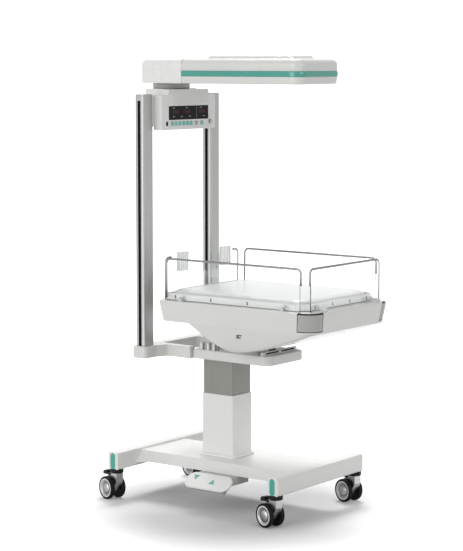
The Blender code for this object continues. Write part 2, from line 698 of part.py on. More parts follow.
def build_foot_switch(base, white):
    """A pad that rocks on a ridge, and the housing that holds it under the deck's edge."""
    across, facing = foot_pad_axes()
    pivot = Vector((FOOT_PAD_CENTRE_X, FOOT_PAD_CENTRE_Y, FOOT_PAD_CENTRE_Z))
    rocker = joint_frame("foot_rocker_axis", pivot, base)
    half = Vector((FOOT_PAD_WIDTH / 2, FOOT_PAD_LENGTH / 2))
    sections = []
    steps = ((FOOT_PAD_EDGE_RADIUS, 0.0), (0.0, FOOT_PAD_EDGE_RADIUS))
    for inset, rise in steps:
        sections.append((inset, SEAT_GAP + rise))
    for inset, drop in reversed(steps):
        sections.append((inset, SEAT_GAP + FOOT_PAD_THICKNESS - drop))
    rings = []
    for inset, level in sections:
        size = half - Vector((inset, inset))
        outline = box_outline(-size, size, size.x * PAD_ROUND_SHARE, 2 * ARC_STEPS)
        rings.append(tilted(outline, level))
    solid("foot_rocker", loft(bmesh.new(), rings), white, rocker)
    # The fulcrum ridge ends in an edge on the rocking axis; the backing plate hangs from the deck
    ridge = bmesh.new()
    profile = [(0, 0), (FULCRUM_WIDTH / 2, -FULCRUM_HEIGHT), (-FULCRUM_WIDTH / 2, -FULCRUM_HEIGHT)]
    reach = FOOT_PAD_WIDTH / 2 * FOOT_BACK_SHARE
    ends = []
    for side in (-1, 1):
        ring = []
        for along, depth in profile:
            ring.append(pivot + across * (side * reach) + Vector((0, along, 0)) + facing * depth)
        ends.append(ring)
    loft(ridge, ends)
    size = Vector((reach, FOOT_HOUSING_LENGTH / 2))
    outline = box_outline(-size, size, FOOT_PAD_EDGE_RADIUS)
    depth = FULCRUM_HEIGHT - FOOT_PAD_EDGE_RADIUS / 2
    plate = loft(bmesh.new(), [tilted(outline, -depth), tilted(outline, -depth - FOOT_BACK_THICKNESS)])
    ceiling = DECK_BOTTOM_Z - SEAT_GAP
    half_hanger = FOOT_HOUSING_LENGTH / 2
    hanger = block(
        (FOOT_PAD_CENTRE_X + reach / 2, FOOT_PAD_CENTRE_Y - half_hanger, ceiling - FOOT_HOUSING_HEIGHT),
        (-DECK_WIDTH / 2 + FOOT_HOUSING_REACH, FOOT_PAD_CENTRE_Y + half_hanger, ceiling),
    )
    housing = solid("foot_switch_housing", hanger, white, base)
    slope = bmesh.new()
    far = half.y + CUT_OVERRUN
    high = FOOT_HOUSING_HEIGHT + FOOT_PAD_LENGTH
    lid = [(-high, -far), (high, -far), (high, far), (-high, far)]
    loft(slope, [tilted(lid, -depth - FOOT_BACK_THICKNESS / 2), tilted(lid, high)])
    cut(housing, slope, "slope")
    join(housing, plate, "plate")
    join(housing, ridge, "ridge")
    return rocker


def wheel_profile():
    """One twin wheel from its outer face inwards, as (radius, along the axle)."""
    outer = WHEEL_TRACK / 2 + WHEEL_WIDTH / 2
    inner = WHEEL_TRACK / 2 - WHEEL_WIDTH / 2
    return [
        (0, outer + HUB_RECESS / 2),
        (HUB_DOME_RADIUS * HUB_DOME_SHARE, outer),
        (HUB_DOME_RADIUS, outer - HUB_RECESS),
        (HUB_RING_RADIUS - HUB_RECESS, outer - HUB_RECESS),
        (HUB_RING_RADIUS, outer),
        (WHEEL_RADIUS - TYRE_SHOULDER, outer),
        (WHEEL_RADIUS, outer - TYRE_SHOULDER),
        (WHEEL_RADIUS, inner + TYRE_SHOULDER),
        (WHEEL_RADIUS - TYRE_SHOULDER, inner),
        (AXLE_RADIUS, inner),
    ]


def fork_outline():
    """The fork's side, trailing towards +Y, from the swivel down to the axle eye."""
    boss = FORK_BOSS_RADIUS
    nose = CASTER_TRAIL - FORK_AXLE_BOSS
    crown = FORK_TOP_Z
    shoulder = PEDAL_PIVOT_BEHIND_STEM - PEDAL_BARREL_RADIUS - SEAT_GAP
    under_pedal = FORK_TOP_Z - PEDAL_PIVOT_BELOW_COLLAR - PEDAL_BARREL_RADIUS - SEAT_GAP
    corners = [
        (-boss, crown),
        (-boss, (crown + AXLE_Z) / 2),
        (nose * FORK_NOSE_SHARE, AXLE_Z - FORK_AXLE_BOSS),
        (CASTER_TRAIL, AXLE_Z - FORK_AXLE_BOSS),
        (CASTER_TRAIL + FORK_AXLE_BOSS, AXLE_Z - FORK_AXLE_BOSS),
        (CASTER_TRAIL + FORK_AXLE_BOSS, AXLE_Z + FORK_AXLE_BOSS),
        (CASTER_TRAIL + FORK_AXLE_BOSS * FORK_NOSE_SHARE, under_pedal - PEDAL_THICKNESS / 2),
        (shoulder, under_pedal),
        (shoulder, crown),
    ]
    bend = FORK_AXLE_BOSS * FORK_NOSE_SHARE
    return fillet(corners, [0, bend, bend, 0, bend, bend, 0, 0, 0])


def caster_meshes():
    """The four pieces of one caster, drawn about its own stem with the wheels trailing to +Y."""
    outer_side = wheel_profile()
    profile = outer_side + [(radius, -along) for radius, along in reversed(outer_side)]
    wheels = turned(profile, "X", (0, CASTER_TRAIL, AXLE_Z))
    fork = prism(fork_outline(), "X", -FORK_WIDTH / 2, FORK_WIDTH / 2)
    eye = cylinder(
        AXLE_RADIUS + FORK_EYE_GAP,
        "X",
        (0, CASTER_TRAIL, AXLE_Z),
        -FORK_WIDTH / 2 - CUT_OVERRUN,
        FORK_WIDTH / 2 + CUT_OVERRUN,
        ROUND_SIDES,
    )
    pivot_z = FORK_TOP_Z - PEDAL_PIVOT_BELOW_COLLAR
    barrel = cylinder(
        PEDAL_BARREL_RADIUS,
        "X",
        (0, PEDAL_PIVOT_BEHIND_STEM, pivot_z),
        -PEDAL_WIDTH / 2,
        PEDAL_WIDTH / 2,
        ROD_SIDES,
    )
    tip = PEDAL_PIVOT_BEHIND_STEM + PEDAL_LENGTH
    low = pivot_z - PEDAL_BARREL_RADIUS * math.cos(math.pi / ROD_SIDES) * PEDAL_DROP_SHARE
    corners = [
        (PEDAL_PIVOT_BEHIND_STEM, low),
        (tip, low - PEDAL_THICKNESS / 2),
        (tip, low + PEDAL_LIP_HEIGHT - PEDAL_THICKNESS),
        (tip - PEDAL_THICKNESS, low + PEDAL_LIP_HEIGHT),
        (tip - PEDAL_LIP_LENGTH, low + PEDAL_LIP_HEIGHT),
        (tip - PEDAL_LIP_LENGTH - PEDAL_THICKNESS / 2, low + PEDAL_THICKNESS),
        (PEDAL_PIVOT_BEHIND_STEM, low + PEDAL_THICKNESS),
    ]
    half = PEDAL_WIDTH / 2 - SEAT_GAP
    tread = prism(corners, "X", -half, half)
    return wheels, fork, eye, barrel, tread


def build_casters(base, tyre_black, steel, black):
    for end_name, end in (("front", -1), ("rear", 1)):
        for side_name, side in (("left", -1), ("right", 1)):
            place = f"{end_name}_{side_name}"
            swivel = joint_frame(f"swivel_axis_{place}", (side * STEM_X, end * RAIL_Y, 0), base)
            swivel.rotation_euler.z = CASTER_TURN
            DRAWN_FROM[swivel.name] = Vector()
            axle = joint_frame(f"wheel_axis_{place}", (0, CASTER_TRAIL, AXLE_Z), swivel)
            pedal_pivot = (0, PEDAL_PIVOT_BEHIND_STEM, FORK_TOP_Z - PEDAL_PIVOT_BELOW_COLLAR)
            pedal = joint_frame(f"brake_axis_{place}", pedal_pivot, swivel)
            wheels, fork, eye, barrel, tread = caster_meshes()
            solid(f"caster_wheels_{place}", wheels, tyre_black, axle)
            cut(solid(f"caster_fork_{place}", fork, steel, swivel), eye, "eye")
            join(solid(f"brake_pedal_{place}", tread, black, pedal), barrel, "barrel")


def build_lift_stage(frame, grey):
    half = Vector((STAGE_WIDTH / 2, STAGE_DEPTH / 2))
    centre = Vector((0, COLUMN_CENTRE_Y))
    outline = box_outline(centre - half, centre + half, STAGE_CORNER_RADIUS)
    top = YOKE_BOTTOM_Z - SEAT_GAP
    stage = solid("lift_inner_stage", prism(outline, "Z", STAGE_BOTTOM_Z, top), grey, frame)
    wall = Vector((STAGE_WALL, STAGE_WALL))
    outline = box_outline(centre - half + wall, centre + half - wall)
    cut(stage, prism(outline, "Z", STAGE_BOTTOM_Z - CUT_OVERRUN, top - STAGE_WALL), "bore")


def build_yoke(frame, white):
    box_back = YOKE_BOX_BACK_Y
    half_box = YOKE_BOX_WIDTH / 2
    outline = box_outline(
        (-half_box, YOKE_BOX_FRONT_Y),
        (half_box, box_back),
        [YOKE_BOX_CORNER, YOKE_BOX_CORNER, YOKE_BOX_EDGE, YOKE_BOX_EDGE],
        2 * ARC_STEPS,
    )
    box = prism(outline, "Z", YOKE_BOTTOM_Z, YOKE_BOX_TOP_Z)
    soften(solid("yoke_box", box, white, frame), YOKE_BOX_EDGE / 2)
    arm_in = YOKE_ARM_OUTER_X - YOKE_ARM_WIDTH
    start = box_back + SEAT_GAP
    outer_half = [
        (YOKE_ARM_OUTER_X, start),
        (YOKE_ARM_OUTER_X, YOKE_ARM_BEND_Y),
        (YOKE_FOOT_INNER_X, YOKE_FOOT_FRONT_Y),
        (YOKE_FOOT_OUTER_X, YOKE_FOOT_FRONT_Y),
        (YOKE_FOOT_OUTER_X, YOKE_BACK_Y),
    ]
    radii = [0, YOKE_FOOT_RADIUS, YOKE_EDGE_RADIUS, YOKE_FOOT_RADIUS, YOKE_FOOT_RADIUS]
    other = [(-x, y) for x, y in reversed(outer_half)]
    inner = [(-arm_in, start), (-arm_in, YOKE_BEAM_FRONT_Y), (arm_in, YOKE_BEAM_FRONT_Y), (arm_in, start)]
    inner_radii = [0, YOKE_FOOT_RADIUS, YOKE_FOOT_RADIUS, 0]
    outline = fillet(outer_half + other + inner, radii + list(reversed(radii)) + inner_radii)
    yoke = solid("yoke_frame", prism(outline, "Z", YOKE_BOTTOM_Z, YOKE_TOP_Z), white, frame)
    bolts = bmesh.new()
    for side in (-1, 1):
        low = YOKE_BOTTOM_Z - FOOT_BOLT_HEIGHT
        place = (side * UPRIGHT_X, UPRIGHT_Y, 0)
        cylinder(FOOT_BOLT_RADIUS, "Z", place, low, YOKE_BOTTOM_Z + CUT_OVERRUN, 6, bolts)
    join(yoke, bolts, "upright_bolts")


def upright_outline():
    """The extrusion's section: a rounded box with an undercut slot in each side face."""
    half = Vector((UPRIGHT_WIDTH / 2, UPRIGHT_DEPTH / 2))
    mouth = SLOT_MOUTH / 2
    wide = SLOT_WIDTH / 2
    lip = half.x - SLOT_LIP
    floor = half.x - SLOT_DEPTH
    side = [
        (half.x, -half.y),
        (half.x, -mouth),
        (lip, -mouth),
        (lip, -wide),
        (floor, -wide),
        (floor, wide),
        (lip, wide),
        (lip, mouth),
        (half.x, mouth),
        (half.x, half.y),
    ]
    radii = [UPRIGHT_CORNER_RADIUS] + [0] * 8 + [UPRIGHT_CORNER_RADIUS]
    corners = side + [(-x, -y) for x, y in side]
    return fillet(corners, radii + radii)


def build_uprights(frame, aluminium):
    section = upright_outline()
    bottom = YOKE_TOP_Z + SEAT_GAP
    for name, side in (("upright_left", -1), ("upright_right", 1)):
        outline = [(x + side * UPRIGHT_X, y + UPRIGHT_Y) for x, y in section]
        upright = solid(name, prism(outline, "Z", bottom, UPRIGHT_TOP_Z), aluminium, frame)
        half = Vector((UPRIGHT_WIDTH / 2, UPRIGHT_DEPTH / 2))
        centre = Vector((side * UPRIGHT_X, UPRIGHT_Y))
        cap = box_outline(centre - half, centre + half, UPRIGHT_CORNER_RADIUS)
        cap_bottom = UPRIGHT_TOP_Z - SLOT_LIP
        join(upright, prism(cap, "Z", cap_bottom, UPRIGHT_TOP_Z + UPRIGHT_CAP_HEIGHT), "cap")


def build_crosshead(frame, white):
    half = CROSSHEAD_WIDTH / 2
    drawing = block(
        (-half, PEDESTAL_FRONT_Y, CROSSHEAD_BOTTOM_Z),
        (half, CROSSHEAD_BACK_Y, CROSSHEAD_TOP_Z),
    )
    crosshead = solid("crosshead", drawing, white, frame)
    outline = box_outline(
        (-PEDESTAL_WIDTH / 2, PEDESTAL_FRONT_Y),
        (PEDESTAL_WIDTH / 2, PEDESTAL_BACK_Y),
        [YOKE_EDGE_RADIUS, YOKE_EDGE_RADIUS, PEDESTAL_RADIUS, PEDESTAL_RADIUS],
    )
    pedestal = prism(outline, "Z", CROSSHEAD_TOP_Z - CUT_OVERRUN, PEDESTAL_TOP_Z)
    join(crosshead, pedestal, "pedestal")


def panel_outline():
    half = PANEL_WIDTH / 2
    tab = PANEL_TAB_WIDTH / 2
    right = [
        (half, PANEL_BOTTOM_Z),
        (half, PANEL_SHOULDER_Z),
        (tab + PANEL_TAB_SLOPE, PANEL_SHOULDER_Z),
        (tab, PANEL_TOP_Z),
    ]
    left = [(-x, z) for x, z in reversed(right)]
    return fillet(right + left, PANEL_EDGE_RADIUS, 2)


def key_places():
    """Every key's name, centre and tone, from left to right."""
    places = []
    for index in range(MODE_KEY_COUNT):
        places.append((f"mode_key_{index + 1}", KEY_FIRST_X + index * KEY_PITCH, "teal"))
    places.append(("silence_key", SILENCE_KEY_X, "grey"))
    places.append(("start_key", START_KEY_X, "teal"))
    return places


def build_panel(frame, white, black, steel, tones):
    housing = solid("panel_housing", prism(panel_outline(), "Y", PANEL_FRONT_Y, PANEL_BACK_Y), white, frame)
    outside = PANEL_FRONT_Y - CUT_OVERRUN
    half = Vector((DISPLAY_WIDTH / 2, DISPLAY_HEIGHT / 2))
    centre = Vector((0, DISPLAY_CENTRE_Z))
    gap = Vector((SEAT_GAP, SEAT_GAP))
    seat = box_outline(centre - half - gap, centre + half + gap)
    well = prism(seat, "Y", outside, PANEL_FRONT_Y + DISPLAY_DEPTH)
    window = prism(
        box_outline(centre - half, centre + half),
        "Y",
        PANEL_FRONT_Y,
        PANEL_FRONT_Y + DISPLAY_DEPTH - SEAT_GAP,
    )
    solid("display_window", window, black, frame)
    half = Vector((KEY_WIDTH / 2, KEY_HEIGHT / 2))
    for name, key_x, tone in key_places():
        centre = Vector((key_x, KEY_ROW_Z))
        seat = box_outline(centre - half - gap, centre + half + gap, KEY_RADIUS + SEAT_GAP, 2)
        prism(seat, "Y", outside, PANEL_FRONT_Y + KEY_DEPTH, well)
        key_frame = joint_frame(f"{name}_axis", (key_x, PANEL_FRONT_Y, KEY_ROW_Z), frame)
        outline = box_outline(centre - half, centre + half, KEY_RADIUS, 2)
        back = PANEL_FRONT_Y + KEY_DEPTH - KEY_TRAVEL - SEAT_GAP
        solid(name, prism(outline, "Y", PANEL_FRONT_Y - KEY_PROUD, back), tones[tone], key_frame)
    knob_seat = (KNOB_X, 0, KNOB_Z)
    knob_back = PANEL_FRONT_Y + KEY_DEPTH
    cylinder(KNOB_RADIUS + SEAT_GAP, "Y", knob_seat, outside, knob_back, drawing=well)
    knob_frame = joint_frame("selector_knob_axis", (KNOB_X, PANEL_FRONT_Y, KNOB_Z), frame)
    tip = knob_back - SEAT_GAP - KNOB_LENGTH
    profile = [
        (KNOB_RADIUS, knob_back - SEAT_GAP),
        (KNOB_RADIUS, tip + KEY_PROUD),
        (KNOB_RADIUS - KEY_PROUD, tip),
    ]
    solid("selector_knob", turned(profile, "Y", knob_seat, ROUND_SIDES), steel, knob_frame)
    centre = Vector((PORT_X, KEY_ROW_Z))
    half = Vector((PORT_WIDTH / 2, PORT_HEIGHT / 2))
    port = box_outline(centre - half, centre + half, PORT_WIDTH * STRIP_ROUND_SHARE)
    prism(port, "Y", outside, PANEL_FRONT_Y + PORT_DEPTH, well)
    cut(housing, well, "wells")


def head_outline(front_y, back_y, half_width, front_radius, back_radius):
    return box_outline(
        (-half_width, front_y),
        (half_width, back_y),
        [front_radius, front_radius, back_radius, back_radius],
        ARC_STEPS + 2,
    )


def heater_well(low, high, drawing=None):
    half = Vector((HEATER_WELL_WIDTH / 2, HEATER_WELL_LENGTH / 2))
    centre = Vector((0, HEATER_CENTRE_Y))
    outline = box_outline(centre - half, centre + half, HEATER_WELL_RADIUS)
    return prism(outline, "Z", low, high, drawing)


def canopy_layer(levels, front_y=HEAD_FRONT_Y):
    """Skins the canopy between (inset, height) steps."""
    sections = []
    for inset, level in levels:
        outline = head_outline(
            front_y + inset,
            HEAD_SEAM_Y - HEAD_SEAM_GAP / 2 - max(0, min(inset, SEAM_DRAFT)),
            HEAD_WIDTH / 2 - inset,
            HEAD_CORNER_RADIUS - inset * CROWN_ROUND_SHARE,
            YOKE_EDGE_RADIUS,
        )
        sections.append(on_plane(outline, "Z", level))
    return loft(bmesh.new(), sections)


def build_head(frame, white, teal, grey, mirror, ceramic, steel):
    centre = (0, HEAD_CENTRE_Y, 0)
    disc = [
        (SWIVEL_RADIUS - YOKE_EDGE_RADIUS, SWIVEL_BOTTOM_Z),
        (SWIVEL_RADIUS, SWIVEL_BOTTOM_Z + YOKE_EDGE_RADIUS),
        (SWIVEL_RADIUS, SWIVEL_TOP_Z),
    ]
    solid("swivel_disc", turned(disc, "Z", centre, 2 * ROUND_SIDES), grey, frame)
    # The cover over the pivot is rounded at the back and meets the canopy on a straight seam
    steps = [
        (SHELL_EDGE, HEAD_BOTTOM_Z),
        (0, HEAD_BOTTOM_Z + SHELL_EDGE),
        (0, HEAD_SIDE_TOP_Z - HEAD_BACK_RADIUS / 2),
        (SHELL_EDGE, HEAD_SIDE_TOP_Z - SHELL_EDGE),
        (HEAD_CROWN_INSET, HEAD_TOP_Z),
    ]
    sections = []
    for inset, level in steps:
        outline = head_outline(
            HEAD_SEAM_Y + HEAD_SEAM_GAP / 2 + min(inset, SEAM_DRAFT),
            HEAD_BACK_Y - inset,
            HEAD_WIDTH / 2 - inset,
            YOKE_EDGE_RADIUS,
            HEAD_BACK_RADIUS - inset * CROWN_ROUND_SHARE,
        )
        sections.append(on_plane(outline, "Z", level))
    solid("head_rear_cover", loft(bmesh.new(), sections), white, frame)
    top = canopy_layer(
        [
            (0, BAND_TOP_Z + SEAT_GAP),
            (0, HEAD_SIDE_TOP_Z - HEAD_BACK_RADIUS / 2),
            (SHELL_EDGE, HEAD_SIDE_TOP_Z - SHELL_EDGE),
            (HEAD_CROWN_INSET, HEAD_TOP_Z),
        ]
    )
    top = solid("canopy_top", top, white, frame)
    plateau = []
    half = PLATEAU_WIDTH / 2
    slope = ((0, HEAD_TOP_Z - CUT_OVERRUN), (0, HEAD_TOP_Z), (PLATEAU_SLOPE, HEAD_TOP_Z + PLATEAU_HEIGHT))
    for inset, level in slope:
        low = (-half + inset, PLATEAU_FRONT_Y + inset)
        high = (half - inset, PLATEAU_BACK_Y - inset)
        plateau.append(on_plane(box_outline(low, high, HEATER_WELL_RADIUS), "Z", level))
    join(top, loft(bmesh.new(), plateau), "plateau")
    cut(top, heater_well(HEAD_BOTTOM_Z, HEATER_WELL_TOP_Z), "heater_well")
    band_levels = [(0, BAND_BOTTOM_Z), (-BAND_PROUD, BAND_BOTTOM_Z + BAND_PROUD)]
    band_levels += [(-BAND_PROUD, BAND_TOP_Z - BAND_PROUD), (0, BAND_TOP_Z)]
    band = solid("canopy_band", canopy_layer(band_levels), teal, frame)
    cut(band, heater_well(HEAD_BOTTOM_Z, HEATER_WELL_TOP_Z), "heater_well")
    lower = [(SHELL_EDGE, HEAD_BOTTOM_Z), (0, HEAD_BOTTOM_Z + SHELL_EDGE), (0, BAND_BOTTOM_Z - SEAT_GAP)]
    lower = solid("canopy_bottom", canopy_layer(lower), white, frame)
    cut(lower, heater_well(HEAD_BOTTOM_Z - CUT_OVERRUN, HEATER_WELL_TOP_Z), "heater_well")
    build_heater(frame, mirror, ceramic, steel)


def reflector_outline():
    """The trough's section: a parabola under the well's ceiling, of one wall thickness."""
    half = HEATER_WELL_WIDTH / 2 - SEAT_GAP
    crown = HEATER_WELL_TOP_Z - SEAT_GAP
    depth = crown - REFLECTOR_BOTTOM_Z
    outer = []
    inner = []
    count = 4 * ARC_STEPS
    for step in range(count + 1):
        share = 2 * step / count - 1
        outer.append((half * share, crown - depth * share * share))
        inner.append(((half - REFLECTOR_WALL) * share, crown - REFLECTOR_WALL - depth * share * share))
    return outer + list(reversed(inner))


def build_heater(frame, mirror, ceramic, steel):
    half_length = HEATER_WELL_LENGTH / 2 - SEAT_GAP - HEATER_WELL_RADIUS
    back = HEATER_CENTRE_Y + half_length
    front = HEATER_CENTRE_Y - half_length
    trough = prism(reflector_outline(), "Y", front, back)
    reflector = solid("heater_reflector", trough, mirror, frame)
    crown = HEATER_WELL_TOP_Z - SEAT_GAP - REFLECTOR_WALL / 2
    for label, low, high in (
        ("front_plate", front, front + REFLECTOR_WALL),
        ("back_plate", back - REFLECTOR_WALL, back),
    ):
        width = HEATER_ROD_Z - REFLECTOR_BOTTOM_Z
        plate = prism(
            [(-width, REFLECTOR_BOTTOM_Z), (width, REFLECTOR_BOTTOM_Z), (0.0, crown)],
            "Y",
            low,
            high,
        )
        join(reflector, plate, label)
    rod_half = half_length - REFLECTOR_WALL - SEAT_GAP
    profile = [
        (HEATER_CAP_RADIUS, -rod_half),
        (HEATER_CAP_RADIUS, -rod_half + HEATER_CAP_LENGTH),
        (HEATER_ROD_RADIUS, -rod_half + HEATER_CAP_LENGTH),
        (HEATER_ROD_RADIUS, rod_half - HEATER_CAP_LENGTH),
        (HEATER_CAP_RADIUS, rod_half - HEATER_CAP_LENGTH),
        (HEATER_CAP_RADIUS, rod_half),
    ]
    centre = (0, HEATER_CENTRE_Y, HEATER_ROD_Z)
    solid("heater_element", turned(profile, "Y", centre, ROUND_SIDES // 2), ceramic, frame)
    build_grille(frame, steel)


def build_grille(frame, steel):
    """A flat guard under the heater: a rim and cross bars, punched from one plate."""
    half = Vector((HEATER_WELL_WIDTH / 2 - SEAT_GAP, HEATER_WELL_LENGTH / 2 - SEAT_GAP))
    centre = Vector((0, HEATER_CENTRE_Y))
    outline = box_outline(centre - half, centre + half, HEATER_WELL_RADIUS)
    top = GUARD_GRILLE_Z + GUARD_GRILLE_THICKNESS
    grille = solid("heater_guard", prism(outline, "Z", GUARD_GRILLE_Z, top), steel, frame)
    clear_length = 2 * (half.y - GRILLE_RIM)
    pitch = (clear_length + GRILLE_BAR) / GRILLE_BAR_COUNT
    openings = bmesh.new()
    for index in range(GRILLE_BAR_COUNT):
        start = centre.y - clear_length / 2 + index * pitch
        for side in (-1, 1):
            edges = sorted((side * GRILLE_BAR / 2, side * (half.x - HEATER_WELL_RADIUS)))
            low = (edges[0], start, GUARD_GRILLE_Z - CUT_OVERRUN)
            high = (edges[1], start + pitch - GRILLE_BAR, top + CUT_OVERRUN)
            block(low, high, openings)
    cut(grille, openings, "openings")


def hull_section(inset, level, back_y=BED_BACK_Y, front_y=BED_FRONT_Y):
    outline = box_outline(
        (-BED_WIDTH / 2 + inset, front_y + inset),
        (BED_WIDTH / 2 - inset, back_y - inset),
        [BED_FRONT_RADIUS, BED_FRONT_RADIUS, BED_BACK_RADIUS, BED_BACK_RADIUS],
        ARC_STEPS + 2,
    )
    return on_plane(outline, "Z", level)


def belly_sections():
    """The rounded underside, drawn in from the crease to the flat at the bottom."""
    crease_half = BED_WIDTH / 2 - BED_TAPER - BELLY_CREASE_INSET
    crease_front = BED_FRONT_Y + BED_TAPER + BELLY_FRONT_INSET
    depth = BED_SKIRT_Z - BELLY_BOTTOM_Z
    bottom_front = TILT_AXIS_Y - BELLY_BOTTOM_HALF_LENGTH
    bottom_back = TILT_AXIS_Y + BELLY_BOTTOM_HALF_LENGTH
    sections = []
    for share in BELLY_STATION_SHARES:
        half = crease_half + (BELLY_BOTTOM_WIDTH / 2 - crease_half) * share
        front = crease_front + (bottom_front - crease_front) * share
        back = BELLY_BACK_Y + (bottom_back - BELLY_BACK_Y) * share
        drop = depth * (1 - (1 - share) ** BELLY_ROUND_SHARE)
        radius = BELLY_BOTTOM_HALF_LENGTH * BELLY_CORNER_SHARE
        outline = box_outline((-half, front), (half, back), radius, ARC_STEPS + 2)
        sections.append(on_plane(outline, "Z", BED_SKIRT_Z - SEAT_GAP - drop))
    return sections


def socket_floor_x():
    """How far in the socket's hole reaches from the belly's left flank."""
    share = 1 - (SOCKET_RISE / BELLY_DEPTH) ** (1 / BELLY_ROUND_SHARE)
    crease_half = BED_WIDTH / 2 - BED_TAPER - BELLY_CREASE_INSET
    flank = crease_half + (BELLY_BOTTOM_WIDTH / 2 - crease_half) * share
    return SOCKET_DEPTH - flank


def build_bed(frame, white, grey, tray_grey, soft):
    sections = [
        hull_section(BED_RIM_ROLL, BED_RIM_Z),
        hull_section(BED_RIM_ROLL * ROLL_SHARE, BED_RIM_Z - BED_RIM_ROLL * ROLL_SHARE),
        hull_section(0, BED_RIM_Z - BED_RIM_ROLL),
        hull_section(BED_TAPER, BED_SKIRT_Z),
    ]
    hull = solid("bed_hull", loft(bmesh.new(), sections), white, frame)
    belly = solid("bed_belly", loft(bmesh.new(), belly_sections()), white, frame)
    reach = TILT_PIN_LENGTH / 2 + SEAT_GAP
    for shell in (hull, belly):
        well = block(
            (-TILT_WELL_WIDTH / 2, TILT_AXIS_Y - TILT_WELL_DEPTH / 2, BELLY_BOTTOM_Z - CUT_OVERRUN),
            (TILT_WELL_WIDTH / 2, TILT_AXIS_Y + TILT_WELL_DEPTH / 2, TILT_AXIS_Z + TILT_WELL_HEADROOM),
        )
        cut(shell, well, "tilt_well")
        bore = cylinder(TILT_PIN_RADIUS + SEAT_GAP, "X", (0, TILT_AXIS_Y, TILT_AXIS_Z), -reach, reach)
        cut(shell, bore, "tilt_bore")
    crease_x = BED_WIDTH / 2 - BED_TAPER
    socket_place = (0, SOCKET_Y, BELLY_BOTTOM_Z + SOCKET_RISE)
    socket = cylinder(SOCKET_RADIUS, "X", socket_place, -crease_x, socket_floor_x(), ROD_SIDES)
    cut(belly, socket, "socket")
    build_corner_inserts(hull, grey, frame)
    low = Vector((-TRAY_WIDTH / 2, TRAY_FRONT_Y))
    high = Vector((TRAY_WIDTH / 2, TRAY_BACK_Y))
    outline = clipped_outline(low, high, TRAY_CORNER)
    tray = solid("mattress_tray", prism(outline, "Z", TRAY_BOTTOM_Z, TRAY_TOP_Z), tray_grey, frame)
    wall = Vector((TRAY_WALL, TRAY_WALL))
    inner = clipped_outline(low + wall, high - wall, TRAY_CORNER)
    cut(tray, prism(inner, "Z", TRAY_BOTTOM_Z + TRAY_WALL, TRAY_TOP_Z + CUT_OVERRUN), "well")
    cut(tray, tray_notches(low, high), "notches")
    build_mattress(soft, frame)


def tray_notches(low, high):
    """The small clip slots in the outside of the tray's two sides and its front."""
    drawing = bmesh.new()
    half = TRAY_NOTCH_WIDTH / 2
    bottom = TRAY_BOTTOM_Z + (TRAY_HEIGHT - TRAY_NOTCH_HEIGHT) / 2
    top = bottom + TRAY_NOTCH_HEIGHT
    for share in TRAY_NOTCH_SHARES:
        across = low.x + TRAY_CORNER + (high.x - low.x - 2 * TRAY_CORNER) * share
        front = (across - half, low.y - CUT_OVERRUN, bottom)
        block(front, (across + half, low.y + TRAY_NOTCH_DEPTH, top), drawing)
        along = low.y + TRAY_CORNER + (high.y - low.y - TRAY_CORNER) * share
        left = (low.x - CUT_OVERRUN, along - half, bottom)
        block(left, (low.x + TRAY_NOTCH_DEPTH, along + half, top), drawing)
        right = (high.x - TRAY_NOTCH_DEPTH, along - half, bottom)
        block(right, (high.x + CUT_OVERRUN, along + half, top), drawing)
    return drawing


def clipped_outline(low, high, clip):
    """A rectangle whose two front corners are cut off at an angle."""
    return [
        Vector((low.x + clip, low.y)),
        Vector((high.x - clip, low.y)),
        Vector((high.x, low.y + clip)),
        Vector((high.x, high.y)),
        Vector((low.x, high.y)),
        Vector((low.x, low.y + clip)),
    ]


def build_corner_inserts(hull, grey, frame):
    """The rounded front corners are separate mouldings let into the hull."""
    radius = BED_FRONT_RADIUS
    pocket = bmesh.new()
    top = BED_RIM_Z - INSERT_TOP_DROP
    for name, side in (("corner_insert_left", -1), ("corner_insert_right", 1)):
        inserts = bmesh.new()
        for target, grow, low, high in (
            (inserts, 0.0, BED_SKIRT_Z + BED_TAPER, top),
            (pocket, SEAT_GAP, BED_SKIRT_Z + BED_TAPER - INSERT_FOOT_GAP, BED_RIM_Z + CUT_OVERRUN),
        ):
            sections = []
            for level in (low, high):
                drop = max(BED_RIM_Z - BED_RIM_ROLL - level, 0.0)
                inset = BED_TAPER * drop / (BED_RIM_Z - BED_RIM_ROLL - BED_SKIRT_Z)
                centre = Vector((side * (BED_WIDTH / 2 - inset - radius), BED_FRONT_Y + inset + radius))
                outer = []
                inner = []
                for step in range(2 * ARC_STEPS + 1):
                    angle = math.pi / 2 * (INSERT_START_SHARE + INSERT_SWEEP_SHARE * step / (2 * ARC_STEPS))
                    out = Vector((side * math.cos(angle), -math.sin(angle)))
                    skin = CUT_OVERRUN if target is pocket else 0.0
                    outer.append(centre + out * (radius + skin))
                    inner.append(centre + out * (radius - INSERT_DEPTH - grow))
                start = (outer[0] - outer[1]).normalized() * grow
                end = (outer[-1] - outer[-2]).normalized() * grow
                for arc in (outer, inner):
                    arc[0] += start
                    arc[-1] += end
                sections.append(on_plane(outer + list(reversed(inner)), "Z", level))
            loft(target, sections)
        solid(name, inserts, grey, frame)
    cut(hull, pocket, "corner_pockets")


